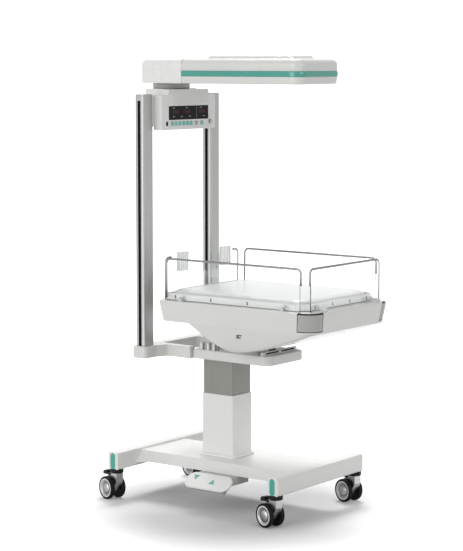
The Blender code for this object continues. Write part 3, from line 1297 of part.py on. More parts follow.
def build_mattress(soft, frame):
    """A crowned pad whose sides draw in between the seams."""
    gap = TRAY_WALL + MATTRESS_EDGE_GAP
    low = Vector((-TRAY_WIDTH / 2 + gap, TRAY_FRONT_Y + gap))
    high = Vector((TRAY_WIDTH / 2 - gap, TRAY_BACK_Y - gap))
    sections = []
    for share, inset in zip(MATTRESS_LEVEL_SHARES, MATTRESS_INSET_SHARES):
        draw = Vector((1, 1)) * (MATTRESS_DRAW_IN * inset)
        outline = []
        corners = clipped_outline(low + draw, high - draw, TRAY_CORNER)
        rounding = TRAY_CORNER * MATTRESS_ROUND_SHARE
        outline = fillet(corners, rounding, 2)
        sections.append(on_plane(outline, "Z", MATTRESS_BOTTOM_Z + MATTRESS_HEIGHT * share))
    centre = (low + high) / 2
    for share in MATTRESS_CROWN_SHARES:
        ring = []
        for point in sections[len(MATTRESS_LEVEL_SHARES) - 1]:
            flat = Vector((point.x, point.y))
            place = centre + (flat - centre) * (1 - share)
            rise = MATTRESS_CROWN * (1 - (1 - share) ** 2)
            ring.append(Vector((place.x, place.y, point.z + rise)))
        sections.append(ring)
    solid("mattress", loft(bmesh.new(), sections), soft, frame)


def build_tilt_bracket(frame, steel):
    """Stands on the yoke: a blade with the bed's trunnion pin, the front plate and two stops."""
    foot = YOKE_BOX_TOP_Z + SEAT_GAP
    half = TILT_BLADE_DEPTH / 2
    outline = fillet(
        [
            (TILT_AXIS_Y - half, foot),
            (TILT_AXIS_Y + half, foot),
            (TILT_AXIS_Y + half, TILT_AXIS_Z + half),
            (TILT_AXIS_Y - half, TILT_AXIS_Z + half),
        ],
        [0, 0, half * BLADE_ROUND_SHARE, half * BLADE_ROUND_SHARE],
        2 * ARC_STEPS,
    )
    blade = prism(outline, "X", -TILT_BLADE_WIDTH / 2, TILT_BLADE_WIDTH / 2)
    bracket = solid("tilt_bracket", blade, steel, frame)
    half_foot = STOP_SPACING / 2 + STOP_RADIUS
    drawing = block(
        (-half_foot, FRONT_PLATE_Y, foot),
        (half_foot, STOP_Y + STOP_RADIUS, foot + FOOT_PLATE_THICKNESS),
    )
    join(bracket, drawing, "foot_plate")
    drawing = bmesh.new()
    for side in (-1, 1):
        place = (side * STOP_SPACING / 2, STOP_Y, 0)
        profile = [
            (STOP_RADIUS, foot),
            (STOP_RADIUS, foot + STOP_HEIGHT - SHELL_EDGE),
            (STOP_RADIUS - SHELL_EDGE, foot + STOP_HEIGHT),
        ]
        turned(profile, "Z", place, ROUND_SIDES // 2, drawing)
    plate_back = FRONT_PLATE_Y + FRONT_PLATE_THICKNESS
    front = box_outline((FRONT_PLATE_Y, foot), (plate_back, foot + FRONT_PLATE_HEIGHT))
    prism(front, "X", -FRONT_PLATE_WIDTH / 2, FRONT_PLATE_WIDTH / 2, drawing)
    join(bracket, drawing, "stops")
    slots = bmesh.new()
    for side in (-1, 1):
        slot_x = side * FRONT_SLOT_SPACING / 2
        slot_z = foot + FRONT_PLATE_HEIGHT / 2
        size = Vector((FRONT_SLOT_WIDTH / 2, FRONT_SLOT_HEIGHT / 2))
        low = (slot_x - size.x, FRONT_PLATE_Y - CUT_OVERRUN, slot_z - size.y)
        high = (slot_x + size.x, FRONT_PLATE_Y + FRONT_SLOT_DEPTH, slot_z + size.y)
        block(low, high, slots)
    cut(bracket, slots, "front_slots")
    pin = cylinder(
        TILT_PIN_RADIUS,
        "X",
        (0, TILT_AXIS_Y, TILT_AXIS_Z),
        -TILT_PIN_LENGTH / 2,
        TILT_PIN_LENGTH / 2,
    )
    join(bracket, pin, "trunnion_pin")


def rod_path(start, end, rail_z, start_post_z, end_post_z):
    """A rail between two posts, bent down at each end; start and end are plan points."""
    corners = [
        Vector((start[0], start[1], start_post_z)),
        Vector((start[0], start[1], rail_z)),
        Vector((end[0], end[1], rail_z)),
        Vector((end[0], end[1], end_post_z)),
    ]
    return fillet(corners, GUARD_BEND_RADIUS, ARC_STEPS, is_open=True)


def pane_outline(low, high):
    """The clear pane fills the space under the rail and between the posts."""
    reach = GUARD_ROD_RADIUS + SEAT_GAP
    corner = GUARD_BEND_RADIUS - reach
    return box_outline(
        (low + reach, BED_RIM_Z + SEAT_GAP),
        (high - reach, GUARD_ROD_Z - reach),
        [0, 0, corner, corner],
        ARC_STEPS,
    )


def hinge_clamp(axis, place, outward, offset, drawing):
    """A knuckle on the hinge line with a leaf that lies against the pane."""
    knuckle = Vector(place)
    across = Vector(outward)
    half = HINGE_LENGTH / 2
    leaf_in = offset - GUARD_PANE / 2 + SEAT_GAP
    outline = []
    for step in range(2 * ARC_STEPS + 1):
        angle = math.pi * step / (2 * ARC_STEPS)
        outline.append((math.sin(angle) * HINGE_HEIGHT, math.cos(angle) * HINGE_HEIGHT))
    outline += [(-leaf_in, -HINGE_HEIGHT * LEAF_FOOT_SHARE), (-leaf_in, HINGE_LENGTH)]
    outline += [(-leaf_in + HINGE_LEAF, HINGE_LENGTH), (-leaf_in + HINGE_LEAF, HINGE_HEIGHT)]
    rings = []
    along = Vector((0, 1, 0)) if axis == "Y" else Vector((1, 0, 0))
    for side in (-1, 1):
        ring = []
        for out, rise in outline:
            ring.append(knuckle + along * (side * half) + across * out + Vector((0, 0, rise)))
        rings.append(ring)
    return loft(drawing, rings)


def build_guard(name, frame, chrome, clear, plane, ends, outward, offset):
    """One fold-down guard: rail, pane and two hinge clamps; its first post is cut short."""
    along_y = outward[0] != 0
    long_post = HINGE_Z
    short_post = GUARD_ROD_Z - GUARD_SHORT_POST
    if along_y:
        start = (plane, ends[0])
        end = (plane, ends[1])
        normal = (1, 0, 0)
    else:
        start = (ends[0], plane)
        end = (ends[1], plane)
        normal = (0, 1, 0)
    rail = swept_rod(rod_path(start, end, GUARD_ROD_Z, short_post, long_post), GUARD_ROD_RADIUS, normal)
    solid(f"guard_rail_{name}", rail, chrome, frame)
    pane = prism(
        pane_outline(min(ends), max(ends)),
        "X" if along_y else "Y",
        plane - GUARD_PANE / 2,
        plane + GUARD_PANE / 2,
    )
    pane = solid(f"guard_pane_{name}", pane, clear, frame)
    out = Vector(outward)
    clamps = bmesh.new()
    for share in HINGE_PLACE_SHARES:
        along = ends[0] + (ends[1] - ends[0]) * share
        flat = (plane, along) if along_y else (along, plane)
        knuckle = Vector((flat[0], flat[1], HINGE_Z)) + out * offset
        hinge_clamp("Y" if along_y else "X", knuckle, outward, offset, clamps)
    join(pane, clamps, "hinges")


def build_back_guard(frame, chrome, clear):
    """The guard at the head end is fixed, notched for tubing and edged at its two corners only."""
    reach = GUARD_ROD_RADIUS + SEAT_GAP
    low, high = -GUARD_END_X + reach, GUARD_END_X - reach
    corner = GUARD_BEND_RADIUS - reach
    top = GUARD_ROD_Z - reach
    notch = NOTCH_WIDTH / 2
    outline = fillet(
        [
            (low, BED_RIM_Z + SEAT_GAP),
            (high, BED_RIM_Z + SEAT_GAP),
            (high, top),
            (notch, top),
            (notch, NOTCH_BOTTOM_Z),
            (-notch, NOTCH_BOTTOM_Z),
            (-notch, top),
            (low, top),
        ],
        [0, 0, corner, 0, NOTCH_RADIUS, NOTCH_RADIUS, 0, corner],
    )
    back = GUARD_BACK_Y
    pane = prism(outline, "Y", back - GUARD_PANE / 2, back + GUARD_PANE / 2)
    pane = solid("guard_pane_back", pane, clear, frame)
    for name, side in (("guard_rail_back_left", -1), ("guard_rail_back_right", 1)):
        corners = [
            Vector((side * GUARD_END_X, back, BED_RIM_Z + SEAT_GAP)),
            Vector((side * GUARD_END_X, back, GUARD_ROD_Z)),
            Vector((side * (GUARD_END_X - BACK_ROD_REACH), back, GUARD_ROD_Z)),
        ]
        path = fillet(corners, GUARD_BEND_RADIUS, ARC_STEPS, is_open=True)
        solid(name, swept_rod(path, GUARD_ROD_RADIUS, (0, 1, 0)), chrome, frame)
    holders = bmesh.new()
    for side in (-1, 1):
        inner = side * (notch + HOLDER_EDGE_GAP)
        rib = HOLDER_WIDTH / HOLDER_RIBS
        base_y = back - GUARD_PANE / 2 + SEAT_GAP
        outline = [(inner, base_y), (inner, base_y - HOLDER_DEPTH / 2)]
        for index in range(HOLDER_RIBS):
            start = inner + side * rib * index
            outline.append((start + side * rib * RIB_START_SHARE, base_y - HOLDER_DEPTH))
            outline.append((start + side * rib * (1 - RIB_START_SHARE), base_y - HOLDER_DEPTH))
            outline.append((start + side * rib, base_y - HOLDER_DEPTH / 2))
        outline.append((inner + side * HOLDER_WIDTH, base_y))
        top_z = GUARD_ROD_Z + HOLDER_TOP_ABOVE_ROD
        prism(outline, "Z", top_z - HOLDER_HEIGHT, top_z, holders)
    join(pane, holders, "tube_holders")


def layout_shift():
    """Centres the machine between the bed's front and the rear casters, and between the side ones."""
    reach = 0.0
    flat_radius_share = math.cos(math.pi / ROUND_SIDES)
    for radius, along in wheel_profile():
        turned_out = radius * flat_radius_share * math.cos(CASTER_TURN) + along * abs(math.sin(CASTER_TURN))
        reach = max(reach, turned_out)
    rear_y = RAIL_Y + CASTER_REACH.y + reach
    return Vector((-CASTER_REACH.x, -(rear_y + BED_FRONT_Y) / 2, 0.0))


def build_warmer():
    clear_scene()
    white = look("warm_white", (0.80, 0.80, 0.78), 0.45)
    grey_plastic = look("grey_plastic", (0.55, 0.56, 0.53), 0.45)
    pale_grey = look("pale_grey", (0.70, 0.71, 0.68), 0.50)
    stage_grey = look("stage_grey", (0.26, 0.27, 0.25), 0.40)
    teal = look("teal", (0.05, 0.36, 0.27), 0.35)
    black = look("black", (0.02, 0.02, 0.02), 0.50)
    steel = look("steel", (0.55, 0.55, 0.53), 0.35, 1.0)
    mirror = look("reflector_mirror", (0.80, 0.80, 0.80), 0.12, 1.0)
    chrome = look("chrome", (0.70, 0.70, 0.70), 0.10, 1.0)
    aluminium = look("aluminium", (0.60, 0.60, 0.57), 0.40, 1.0)
    ceramic = look("ceramic", (0.60, 0.50, 0.42), 0.60)
    clear = look("clear_acrylic", (0.92, 0.94, 0.94), 0.10)
    soft = look("mattress_cover", (0.76, 0.76, 0.73), 0.70)

    base = joint_frame("base", (0, 0, 0))
    build_base(base, white)
    build_lift_column(base, white, steel)
    build_foot_switch(base, white)
    build_casters(base, black, steel, black)

    lift = joint_frame("lift_axis", (0, COLUMN_CENTRE_Y, SLEEVE_TOP_Z), base)
    build_lift_stage(lift, stage_grey)
    build_yoke(lift, white)
    build_tilt_bracket(lift, steel)
    build_uprights(lift, aluminium)
    build_crosshead(lift, white)
    build_panel(lift, white, black, steel, {"teal": teal, "grey": grey_plastic})

    head = joint_frame("head_axis", (0, HEAD_CENTRE_Y, SWIVEL_BOTTOM_Z), lift)
    build_head(head, white, teal, grey_plastic, mirror, ceramic, steel)

    bed = joint_frame("bed_axis", (0, TILT_AXIS_Y, TILT_AXIS_Z), lift)
    build_bed(bed, white, grey_plastic, pale_grey, soft)
    build_back_guard(bed, chrome, clear)
    side_ends = (GUARD_END_FRONT_Y, GUARD_END_BACK_Y)
    for name, side in (("left", -1), ("right", 1)):
        plane = side * GUARD_SIDE_X
        axis = joint_frame(f"guard_axis_{name}", (side * HINGE_LINE_X, GUARD_END_BACK_Y, HINGE_Z), bed)
        build_guard(name, axis, chrome, clear, plane, side_ends, (side, 0, 0), HINGE_LINE_X - GUARD_SIDE_X)
    axis = joint_frame("guard_axis_front", (0, HINGE_LINE_FRONT_Y, HINGE_Z), bed)
    front_ends = (-GUARD_END_X, GUARD_END_X)
    offset = GUARD_FRONT_Y - HINGE_LINE_FRONT_Y
    build_guard("front", axis, chrome, clear, GUARD_FRONT_Y, front_ends, (0, -1, 0), offset)
    base.location = layout_shift()


build_warmer()
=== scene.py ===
# %% [markdown]
# # An infant radiant warmer, dressed for its portrait
# The machine's solids come from its CAD model and stay where they are. This file gives each of
# them the finish of the real thing, and replaces the pieces whose curves need a finer surface.

# %% Load the machine
import json
import math

import bmesh
import bpy
import numpy as np
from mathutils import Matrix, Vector
from mathutils.bvhtree import BVHTree

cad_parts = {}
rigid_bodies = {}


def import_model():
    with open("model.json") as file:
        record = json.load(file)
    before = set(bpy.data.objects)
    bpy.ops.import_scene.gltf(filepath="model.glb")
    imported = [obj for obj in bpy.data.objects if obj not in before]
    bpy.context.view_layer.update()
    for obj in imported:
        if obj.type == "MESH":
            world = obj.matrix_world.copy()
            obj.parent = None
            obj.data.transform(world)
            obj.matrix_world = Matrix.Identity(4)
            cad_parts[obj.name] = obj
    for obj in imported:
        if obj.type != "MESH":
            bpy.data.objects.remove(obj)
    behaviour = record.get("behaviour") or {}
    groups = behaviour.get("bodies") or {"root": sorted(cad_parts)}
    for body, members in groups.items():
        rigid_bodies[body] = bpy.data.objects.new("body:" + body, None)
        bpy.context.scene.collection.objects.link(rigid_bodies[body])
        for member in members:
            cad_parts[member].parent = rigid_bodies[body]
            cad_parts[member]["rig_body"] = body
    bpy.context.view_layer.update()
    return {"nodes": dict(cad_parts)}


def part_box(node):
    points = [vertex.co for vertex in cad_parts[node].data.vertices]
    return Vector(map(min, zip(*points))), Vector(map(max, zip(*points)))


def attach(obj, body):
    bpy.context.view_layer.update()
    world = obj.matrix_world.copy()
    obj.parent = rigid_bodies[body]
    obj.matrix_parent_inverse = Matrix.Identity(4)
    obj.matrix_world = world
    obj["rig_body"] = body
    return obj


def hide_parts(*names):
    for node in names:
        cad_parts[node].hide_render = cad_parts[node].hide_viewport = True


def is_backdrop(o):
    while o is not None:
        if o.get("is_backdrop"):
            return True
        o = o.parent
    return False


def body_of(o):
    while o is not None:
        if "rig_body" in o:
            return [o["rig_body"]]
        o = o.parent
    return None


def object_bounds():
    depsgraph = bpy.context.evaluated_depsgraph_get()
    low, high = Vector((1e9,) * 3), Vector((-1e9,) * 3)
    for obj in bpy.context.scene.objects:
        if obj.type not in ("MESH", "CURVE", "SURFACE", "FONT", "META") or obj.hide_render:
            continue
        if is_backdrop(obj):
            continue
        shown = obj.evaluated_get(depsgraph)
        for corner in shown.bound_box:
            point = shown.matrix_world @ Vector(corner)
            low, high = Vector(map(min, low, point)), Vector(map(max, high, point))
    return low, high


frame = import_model()
NODES = frame["nodes"]

# %% [markdown]
# ## The camera
# The photograph was taken from the machine's left front, a little above the heater head, with a
# long lens. The camera's place was found from edges that can be measured both in the picture and
# on the solids. Blender measures the lens against the longer side of the picture, its height.

# %% Place the camera
PICTURE_HEIGHT = 551
FOCAL_PIXELS = 1923.04
CAMERA_PLACE = (-6.46193, -4.8279, 1.89023)
CAMERA_AZIMUTH = -52.83177
CAMERA_PITCH = 6.47641


def placed(name, data):
    """A new object in the scene that shows this mesh, lamp or camera."""
    thing = bpy.data.objects.new(name, data)
    bpy.context.scene.collection.objects.link(thing)
    return thing


lens = bpy.data.cameras.new("portrait_lens")
lens.sensor_width = 36.0
lens.lens = FOCAL_PIXELS * lens.sensor_width / PICTURE_HEIGHT
lens.clip_start = 0.1
lens.clip_end = 60.0
camera = placed("portrait_camera", lens)
camera.location = CAMERA_PLACE
camera.rotation_euler = (math.radians(90.0 - CAMERA_PITCH), 0.0, math.radians(CAMERA_AZIMUTH))
bpy.context.scene.camera = camera
print("lens", round(lens.lens, 1), "mm")

# %% [markdown]
# ## The room
# A catalogue picture has a white ground that runs up behind the machine. One surface does both:
# a profile that goes along the floor, round a wide bend and up the wall. It looks white to the
# camera and in reflections, but its own paint is a plain pale one, so it throws no extra light.

# %% Make surfaces from grids
SAME_POINT = 1e-6


def surface(name, points, close_u=False, close_v=False, cap_start=False, cap_end=False):
    """A mesh from a grid of points, shape (rows, columns, 3): each cell is one quad.

    The grid may close on itself in either direction, and its first and last rows may be filled.
    """
    rows, columns = points.shape[:2]
    u = np.arange(rows if close_u else rows - 1)
    v = np.arange(columns if close_v else columns - 1)
    i, j = np.meshgrid(u, v, indexing="ij")
    i_next, j_next = (i + 1) % rows, (j + 1) % columns
    corners = (i * columns + j, i * columns + j_next, i_next * columns + j_next, i_next * columns + j)
    quads = np.stack(corners, axis=-1).reshape(-1, 4)
    faces = quads.tolist()
    if cap_start:
        faces.append(list(range(columns))[::-1])
    if cap_end:
        faces.append([(rows - 1) * columns + k for k in range(columns)])
    mesh = bpy.data.meshes.new(name)
    mesh.from_pydata(points.reshape(-1, 3).tolist(), [], faces)
    drawing = bmesh.new()
    drawing.from_mesh(mesh)
    bmesh.ops.remove_doubles(drawing, verts=drawing.verts, dist=SAME_POINT)
    bmesh.ops.recalc_face_normals(drawing, faces=drawing.faces)
    drawing.to_mesh(mesh)
    drawing.free()
    mesh.shade_smooth()
    return placed(name, mesh)


# %% Bend the backdrop
def backdrop_points(half_width=9.0, front=-9.0, back=7.0, bend=2.5, height=7.0):
    """The floor, a quarter circle and the wall, as one profile carried sideways.

    Along the view direction d the profile is (d, 0) on the floor, then
    (back + bend sin a, bend - bend cos a) for a from 0 to a right angle, then straight up.
    """
    angle = np.linspace(0.0, math.pi / 2, 25)
    along = np.concatenate([[front], back + bend * np.sin(angle), [back + bend]])
    rise = np.concatenate([[0.0], bend - bend * np.cos(angle), [height]])
    across = np.linspace(-half_width, half_width, 3)
    view = math.radians(CAMERA_AZIMUTH)
    ahead = np.array([-math.sin(view), math.cos(view), 0.0])
    right = np.array([math.cos(view), math.sin(view), 0.0])
    flat = along[:, None, None] * ahead + across[None, :, None] * right
    return flat + rise[:, None, None] * np.array([0.0, 0.0, 1.0])


# %% [markdown]
# ## Light
# Three soft boxes light the machine. A low one at its left gives the left faces their tone. A
# strong one high behind its right whitens the tops and throws the shadow towards the camera. A
# weak one in front keeps the front faces a quiet grey, and the room fills the rest.

# %% Hang the lamps
def soft_box(name, place, target, size, power):
    """A square lamp that faces its target."""
    lamp = bpy.data.lights.new(name, "AREA")
    lamp.shape = "SQUARE"
    lamp.size = size
    lamp.energy = power
    holder = placed(name, lamp)
    holder.location = place
    aim = np.array(target, float) - np.array(place, float)
    flat = math.hypot(aim[0], aim[1])
    holder.rotation_euler = (math.atan2(flat, -aim[2]), 0.0, math.atan2(-aim[0], aim[1]))


MIDDLE = (0.0, 0.0, 1.0)
soft_box("key_box", (-6.0, 1.0, 2.2), MIDDLE, 4.5, 155.0)
soft_box("top_box", (4.3, 3.2, 8.8), MIDDLE, 3.6, 550.0)
soft_box("front_box", (-0.8, -7.5, 4.0), MIDDLE, 4.5, 125.0)
print(len(bpy.data.lights), "soft boxes")


# %% Helpers for shader nodes
def own_place(tree):
    """The Object coordinates: where a point lies on its own piece."""
    return tree.nodes.new("ShaderNodeTexCoord").outputs["Object"]


def math_node(tree, operation, first, second=None, clamp=False):
    """One Math node; each input is a socket to link or a number to set."""
    node = tree.nodes.new("ShaderNodeMath")
    node.operation = operation
    node.use_clamp = clamp
    for socket, value in zip(node.inputs, (first, second)):
        if isinstance(value, (int, float)):
            socket.default_value = value
        elif value is not None:
            tree.links.new(value, socket)
    return node.outputs[0]


def map_range(tree, value, start, end, low=0.0, high=1.0, kind="LINEAR"):
    """Brings a value from one range to another: start becomes low and end becomes high."""
    node = tree.nodes.new("ShaderNodeMapRange")
    node.interpolation_type = kind
    for label, amount in (("From Min", start), ("From Max", end), ("To Min", low), ("To Max", high)):
        node.inputs[label].default_value = amount
    tree.links.new(value, node.inputs["Value"])
    return node.outputs["Result"]


def mixed(tree, factor, first, second):
    """A colour between two, by a mask; each colour is a socket or three numbers."""
    node = tree.nodes.new("ShaderNodeMix")
    node.data_type = "RGBA"
    tree.links.new(factor, node.inputs["Factor"])
    for label, value in (("A", first), ("B", second)):
        if isinstance(value, tuple):
            node.inputs[label].default_value = (*value, 1.0)
        else:
            tree.links.new(value, node.inputs[label])
    return node.outputs["Result"]


# %% Tell what is seen from what is lit
def seen_directly(tree):
    """A mask that is 1 for what the camera sees, also in a mirror or through glass, and 0 for light."""
    path = tree.nodes.new("ShaderNodeLightPath")
    mask = path.outputs["Is Camera Ray"]
    for label in ("Is Glossy Ray", "Is Transmission Ray"):
        mask = math_node(tree, "MAXIMUM", mask, path.outputs[label])
    return mask


ROOM_LIGHT = 0.42
world = bpy.data.worlds.new("studio")
world.use_nodes = True
bpy.context.scene.world = world
sky = world.node_tree.nodes["Background"]
sky.inputs["Color"].default_value = (1.0, 1.0, 1.0, 1.0)
strength = map_range(world.node_tree, seen_directly(world.node_tree), 0.0, 1.0, ROOM_LIGHT, 1.0)
world.node_tree.links.new(strength, sky.inputs["Strength"])
bpy.context.scene.view_settings.view_transform = "Standard"
print("room: 1 where it is seen,", ROOM_LIGHT, "where it lights")

# %% [markdown]
# ## A white ground that keeps its shadow
# A plain white floor would have to be lit until the machine itself burns out. Instead the paint
# shows pale to the camera and mid grey to the light, so it sends little light back, and away from
# the machine a glow that only direct sight counts lifts it to pure white. Close to the machine
# there is no glow, so the shadow under the base stays as deep as it is in the photograph.

# %% Paint the backdrop
GROUND_SEEN = (0.78, 0.78, 0.792)
GROUND_LIT = (0.52, 0.52, 0.53)
GROUND_GLOW = 0.75
SHADOW_REACH = (0.35, 1.0)
SHADOW_CENTRE = (-0.10, 0.0, 0.0)

ground = bpy.data.materials.new("studio_ground")
ground.use_nodes = True
tree = ground.node_tree
seen = seen_directly(tree)
paint = tree.nodes["Principled BSDF"]
paint.inputs["Roughness"].default_value = 0.9
paint.inputs["Specular IOR Level"].default_value = 0.0
tree.links.new(mixed(tree, seen, GROUND_LIT, GROUND_SEEN), paint.inputs["Base Color"])
away = tree.nodes.new("ShaderNodeVectorMath")
away.operation = "DISTANCE"
away.inputs[1].default_value = SHADOW_CENTRE
tree.links.new(own_place(tree), away.inputs[0])
spread = map_range(tree, away.outputs["Value"], *SHADOW_REACH, 0.0, GROUND_GLOW, "SMOOTHSTEP")
glow = tree.nodes.new("ShaderNodeEmission")
tree.links.new(math_node(tree, "MULTIPLY", seen, spread), glow.inputs["Strength"])
both = tree.nodes.new("ShaderNodeAddShader")
tree.links.new(paint.outputs[0], both.inputs[0])
tree.links.new(glow.outputs[0], both.inputs[1])
tree.links.new(both.outputs[0], tree.nodes["Material Output"].inputs["Surface"])

backdrop = surface("backdrop", backdrop_points())
backdrop.data.materials.append(ground)
backdrop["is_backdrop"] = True
print("backdrop", len(backdrop.data.polygons), "faces, glow", GROUND_GLOW)

# %% [markdown]
# ## Finishes
# A painted or moulded surface is never one flat number: its tone and gloss drift a little over
# hand-sized patches, close up it has a fine grain, and its edges are rubbed a little brighter or
# darker by hands and cloths. One shader group gives all of these, and each finish sets its own
# amounts. The group works on Object coordinates, so nothing slides or stretches.

# %% Groups, noise and tints
def shader_group(name, inputs, outputs):
    """A new shader node group with named sockets; returns the tree and its two end nodes."""
    tree = bpy.data.node_groups.new(name, "ShaderNodeTree")
    for label, kind, value in inputs:
        socket = tree.interface.new_socket(name=label, in_out="INPUT", socket_type=kind)
        socket.default_value = value
    for label, kind in outputs:
        tree.interface.new_socket(name=label, in_out="OUTPUT", socket_type=kind)
    return tree, tree.nodes.new("NodeGroupInput"), tree.nodes.new("NodeGroupOutput")


def noise(tree, place, scale, detail=2.0):
    """Soft random values over a place; the scale is a socket to link or a number to set."""
    node = tree.nodes.new("ShaderNodeTexNoise")
    node.inputs["Detail"].default_value = detail
    tree.links.new(place, node.inputs["Vector"])
    if isinstance(scale, (int, float)):
        node.inputs["Scale"].default_value = scale
    else:
        tree.links.new(scale, node.inputs["Scale"])
    return node.outputs["Fac"]


def scaled(tree, colour, amount):
    """A colour times a number, both from sockets."""
    node = tree.nodes.new("ShaderNodeVectorMath")
    node.operation = "SCALE"
    tree.links.new(colour, node.inputs[0])
    tree.links.new(amount, node.inputs["Scale"])
    return node.outputs[0]


def principled(material):
    """The material's main shader."""
    return material.node_tree.nodes["Principled BSDF"]


# %% Build the surface drift group
EDGE_POINTINESS = (0.52, 0.60)
drift, given, put = shader_group(
    "surface_drift",
    [
        ("Colour", "NodeSocketColor", (0.8, 0.8, 0.8, 1.0)),
        ("Roughness", "NodeSocketFloat", 0.4),
        ("Patch Scale", "NodeSocketFloat", 9.0),
        ("Grain Scale", "NodeSocketFloat", 900.0),
        ("Tone Change", "NodeSocketFloat", 0.03),
        ("Gloss Change", "NodeSocketFloat", 0.08),
        ("Edge Change", "NodeSocketFloat", 0.0),
    ],
    [("Colour", "NodeSocketColor"), ("Roughness", "NodeSocketFloat"), ("Grain", "NodeSocketFloat")],
)
place = own_place(drift)
patch = noise(drift, place, given.outputs["Patch Scale"], 4.0)
grain = noise(drift, place, given.outputs["Grain Scale"], 1.0)
centred = math_node(drift, "SUBTRACT", patch, 0.5)
tone = math_node(drift, "ADD", math_node(drift, "MULTIPLY", centred, given.outputs["Tone Change"]), 1.0)
edge = drift.nodes.new("ShaderNodeNewGeometry").outputs["Pointiness"]
rubbed = math_node(drift, "MULTIPLY", map_range(drift, edge, *EDGE_POINTINESS), patch)
worn = math_node(drift, "MULTIPLY", rubbed, given.outputs["Edge Change"])
tinted = scaled(drift, given.outputs["Colour"], math_node(drift, "ADD", tone, worn))
gloss = math_node(drift, "MULTIPLY", centred, given.outputs["Gloss Change"])
drift.links.new(tinted, put.inputs["Colour"])
drift.links.new(math_node(drift, "ADD", gloss, given.outputs["Roughness"], True), put.inputs["Roughness"])
drift.links.new(grain, put.inputs["Grain"])
print(drift.name, len(drift.nodes), "nodes")


# %% A finish is the drift group, a bump and a Principled shader
GRAIN_DEPTH = 0.0004


def finish(name, colour, roughness, metallic=0.0, tone=0.03, gloss=0.08, patch=9.0, grain=900.0,
           bump=0.02, edge=0.0, coat=0.0):
    """A material whose colour, roughness and bump come from the drift group."""
    material = bpy.data.materials.new(name)
    material.use_nodes = True
    tree = material.node_tree
    shader = principled(material)
    shader.inputs["Metallic"].default_value = metallic
    shader.inputs["Coat Weight"].default_value = coat
    varied = tree.nodes.new("ShaderNodeGroup")
    varied.node_tree = drift
    varied.name = "drift"
    values = {"Colour": (*colour, 1.0), "Roughness": roughness, "Patch Scale": patch}
    values |= {"Grain Scale": grain, "Tone Change": tone, "Gloss Change": gloss, "Edge Change": edge}
    for label, value in values.items():
        varied.inputs[label].default_value = value
    tree.links.new(varied.outputs["Colour"], shader.inputs["Base Color"])
    tree.links.new(varied.outputs["Roughness"], shader.inputs["Roughness"])
    relief = tree.nodes.new("ShaderNodeBump")
    relief.name = "relief"
    relief.inputs["Strength"].default_value = bump
    relief.inputs["Distance"].default_value = GRAIN_DEPTH
    tree.links.new(varied.outputs["Grain"], relief.inputs["Height"])
    tree.links.new(relief.outputs["Normal"], shader.inputs["Normal"])
    material.diffuse_color = (*colour, 1.0)
    return material


def within(tree, axis, low, high, soft=0.0003):
    """A mask that is 1 where the Object coordinate on an axis lies between two values."""
    split = tree.nodes.new("ShaderNodeSeparateXYZ")
    tree.links.new(own_place(tree), split.inputs[0])
    rise = map_range(tree, split.outputs[axis], low - soft, low + soft)
    fall = map_range(tree, split.outputs[axis], high + soft, high - soft)
    return math_node(tree, "MULTIPLY", rise, fall)


# %% The finishes of this machine
DARK_SPECULAR = 0.12
white_paint = finish("white_powder_coat", (0.84, 0.84, 0.815), 0.40, bump=0.10, grain=1300.0, edge=0.05)
casting_white = finish("white_casting", (0.74, 0.74, 0.715), 0.40, bump=0.12, grain=1300.0, edge=0.05)
white_shell = finish("white_moulding", (0.745, 0.745, 0.72), 0.30, bump=0.03, edge=0.04, coat=0.15)
bright_shell = finish("bright_moulding", (0.87, 0.87, 0.85), 0.28, bump=0.03, edge=0.03, coat=0.15)
teal_gloss = finish("teal_gloss", (0.045, 0.36, 0.28), 0.14, tone=0.05, coat=0.5)
teal_satin = finish("teal_rubber", (0.055, 0.38, 0.30), 0.42, tone=0.06, bump=0.15, grain=1500.0)
black_satin = finish("black_satin", (0.010, 0.010, 0.010), 0.42, bump=0.10, grain=1300.0, edge=0.6)
tyre_black = finish("tyre_rubber", (0.010, 0.010, 0.011), 0.60, tone=0.25, bump=0.35, grain=1500.0)
silver = finish("silver_satin", (0.50, 0.50, 0.48), 0.28, metallic=1.0, tone=0.06, edge=0.1)
chrome = finish("dark_chrome", (0.30, 0.30, 0.295), 0.16, metallic=1.0, tone=0.04, gloss=0.05)
grey_shell = finish("grey_moulding", (0.46, 0.47, 0.44), 0.36, bump=0.08, grain=1300.0)
insert_grey = finish("insert_grey", (0.42, 0.43, 0.405), 0.34, bump=0.05)
pale_tray = finish("tray_polymer", (0.80, 0.81, 0.79), 0.24, bump=0.03, coat=0.2)
ring_pale = finish("wheel_ring", (0.82, 0.82, 0.80), 0.30)
dome_metal = finish("wheel_dome", (0.58, 0.58, 0.57), 0.34, metallic=0.9, tone=0.08)
mirror = finish("reflector_bright", (0.85, 0.85, 0.85), 0.10, metallic=1.0, gloss=0.06)
ceramic = finish("ceramic_rod", (0.62, 0.52, 0.44), 0.60, bump=0.3)
display_black = finish("display_glass", (0.006, 0.006, 0.007), 0.05, tone=0.0, gloss=0.02)
# Black painted into slots, sockets, notches and joints: painted shade where light hardly reaches.
recess_shade_black = finish("painted_recess_shade", (0.012, 0.012, 0.012), 0.6)
for dark in (black_satin, tyre_black, display_black):
    principled(dark).inputs["Specular IOR Level"].default_value = DARK_SPECULAR


def paint_rim_reflection(material, blend, rim):
    """Polished metal whose colour is darkened towards the rim of a round: a painted reflection of the dark of a
    studio.
    """
    tree = material.node_tree
    facing = tree.nodes.new("ShaderNodeLayerWeight")
    facing.inputs["Blend"].default_value = blend
    reflected_rim_shade = mixed(tree, facing.outputs["Facing"], tree.nodes["drift"].outputs["Colour"], (rim, rim, rim))
    tree.links.new(reflected_rim_shade, principled(material).inputs["Base Color"])


# Painted reflection: the chrome, the silver and the wheel domes take a darker colour towards their rims.
paint_rim_reflection(chrome, 0.45, 0.03)
paint_rim_reflection(silver, 0.40, 0.12)
paint_rim_reflection(dome_metal, 0.62, 0.05)
print(len(bpy.data.materials), "finishes so far")

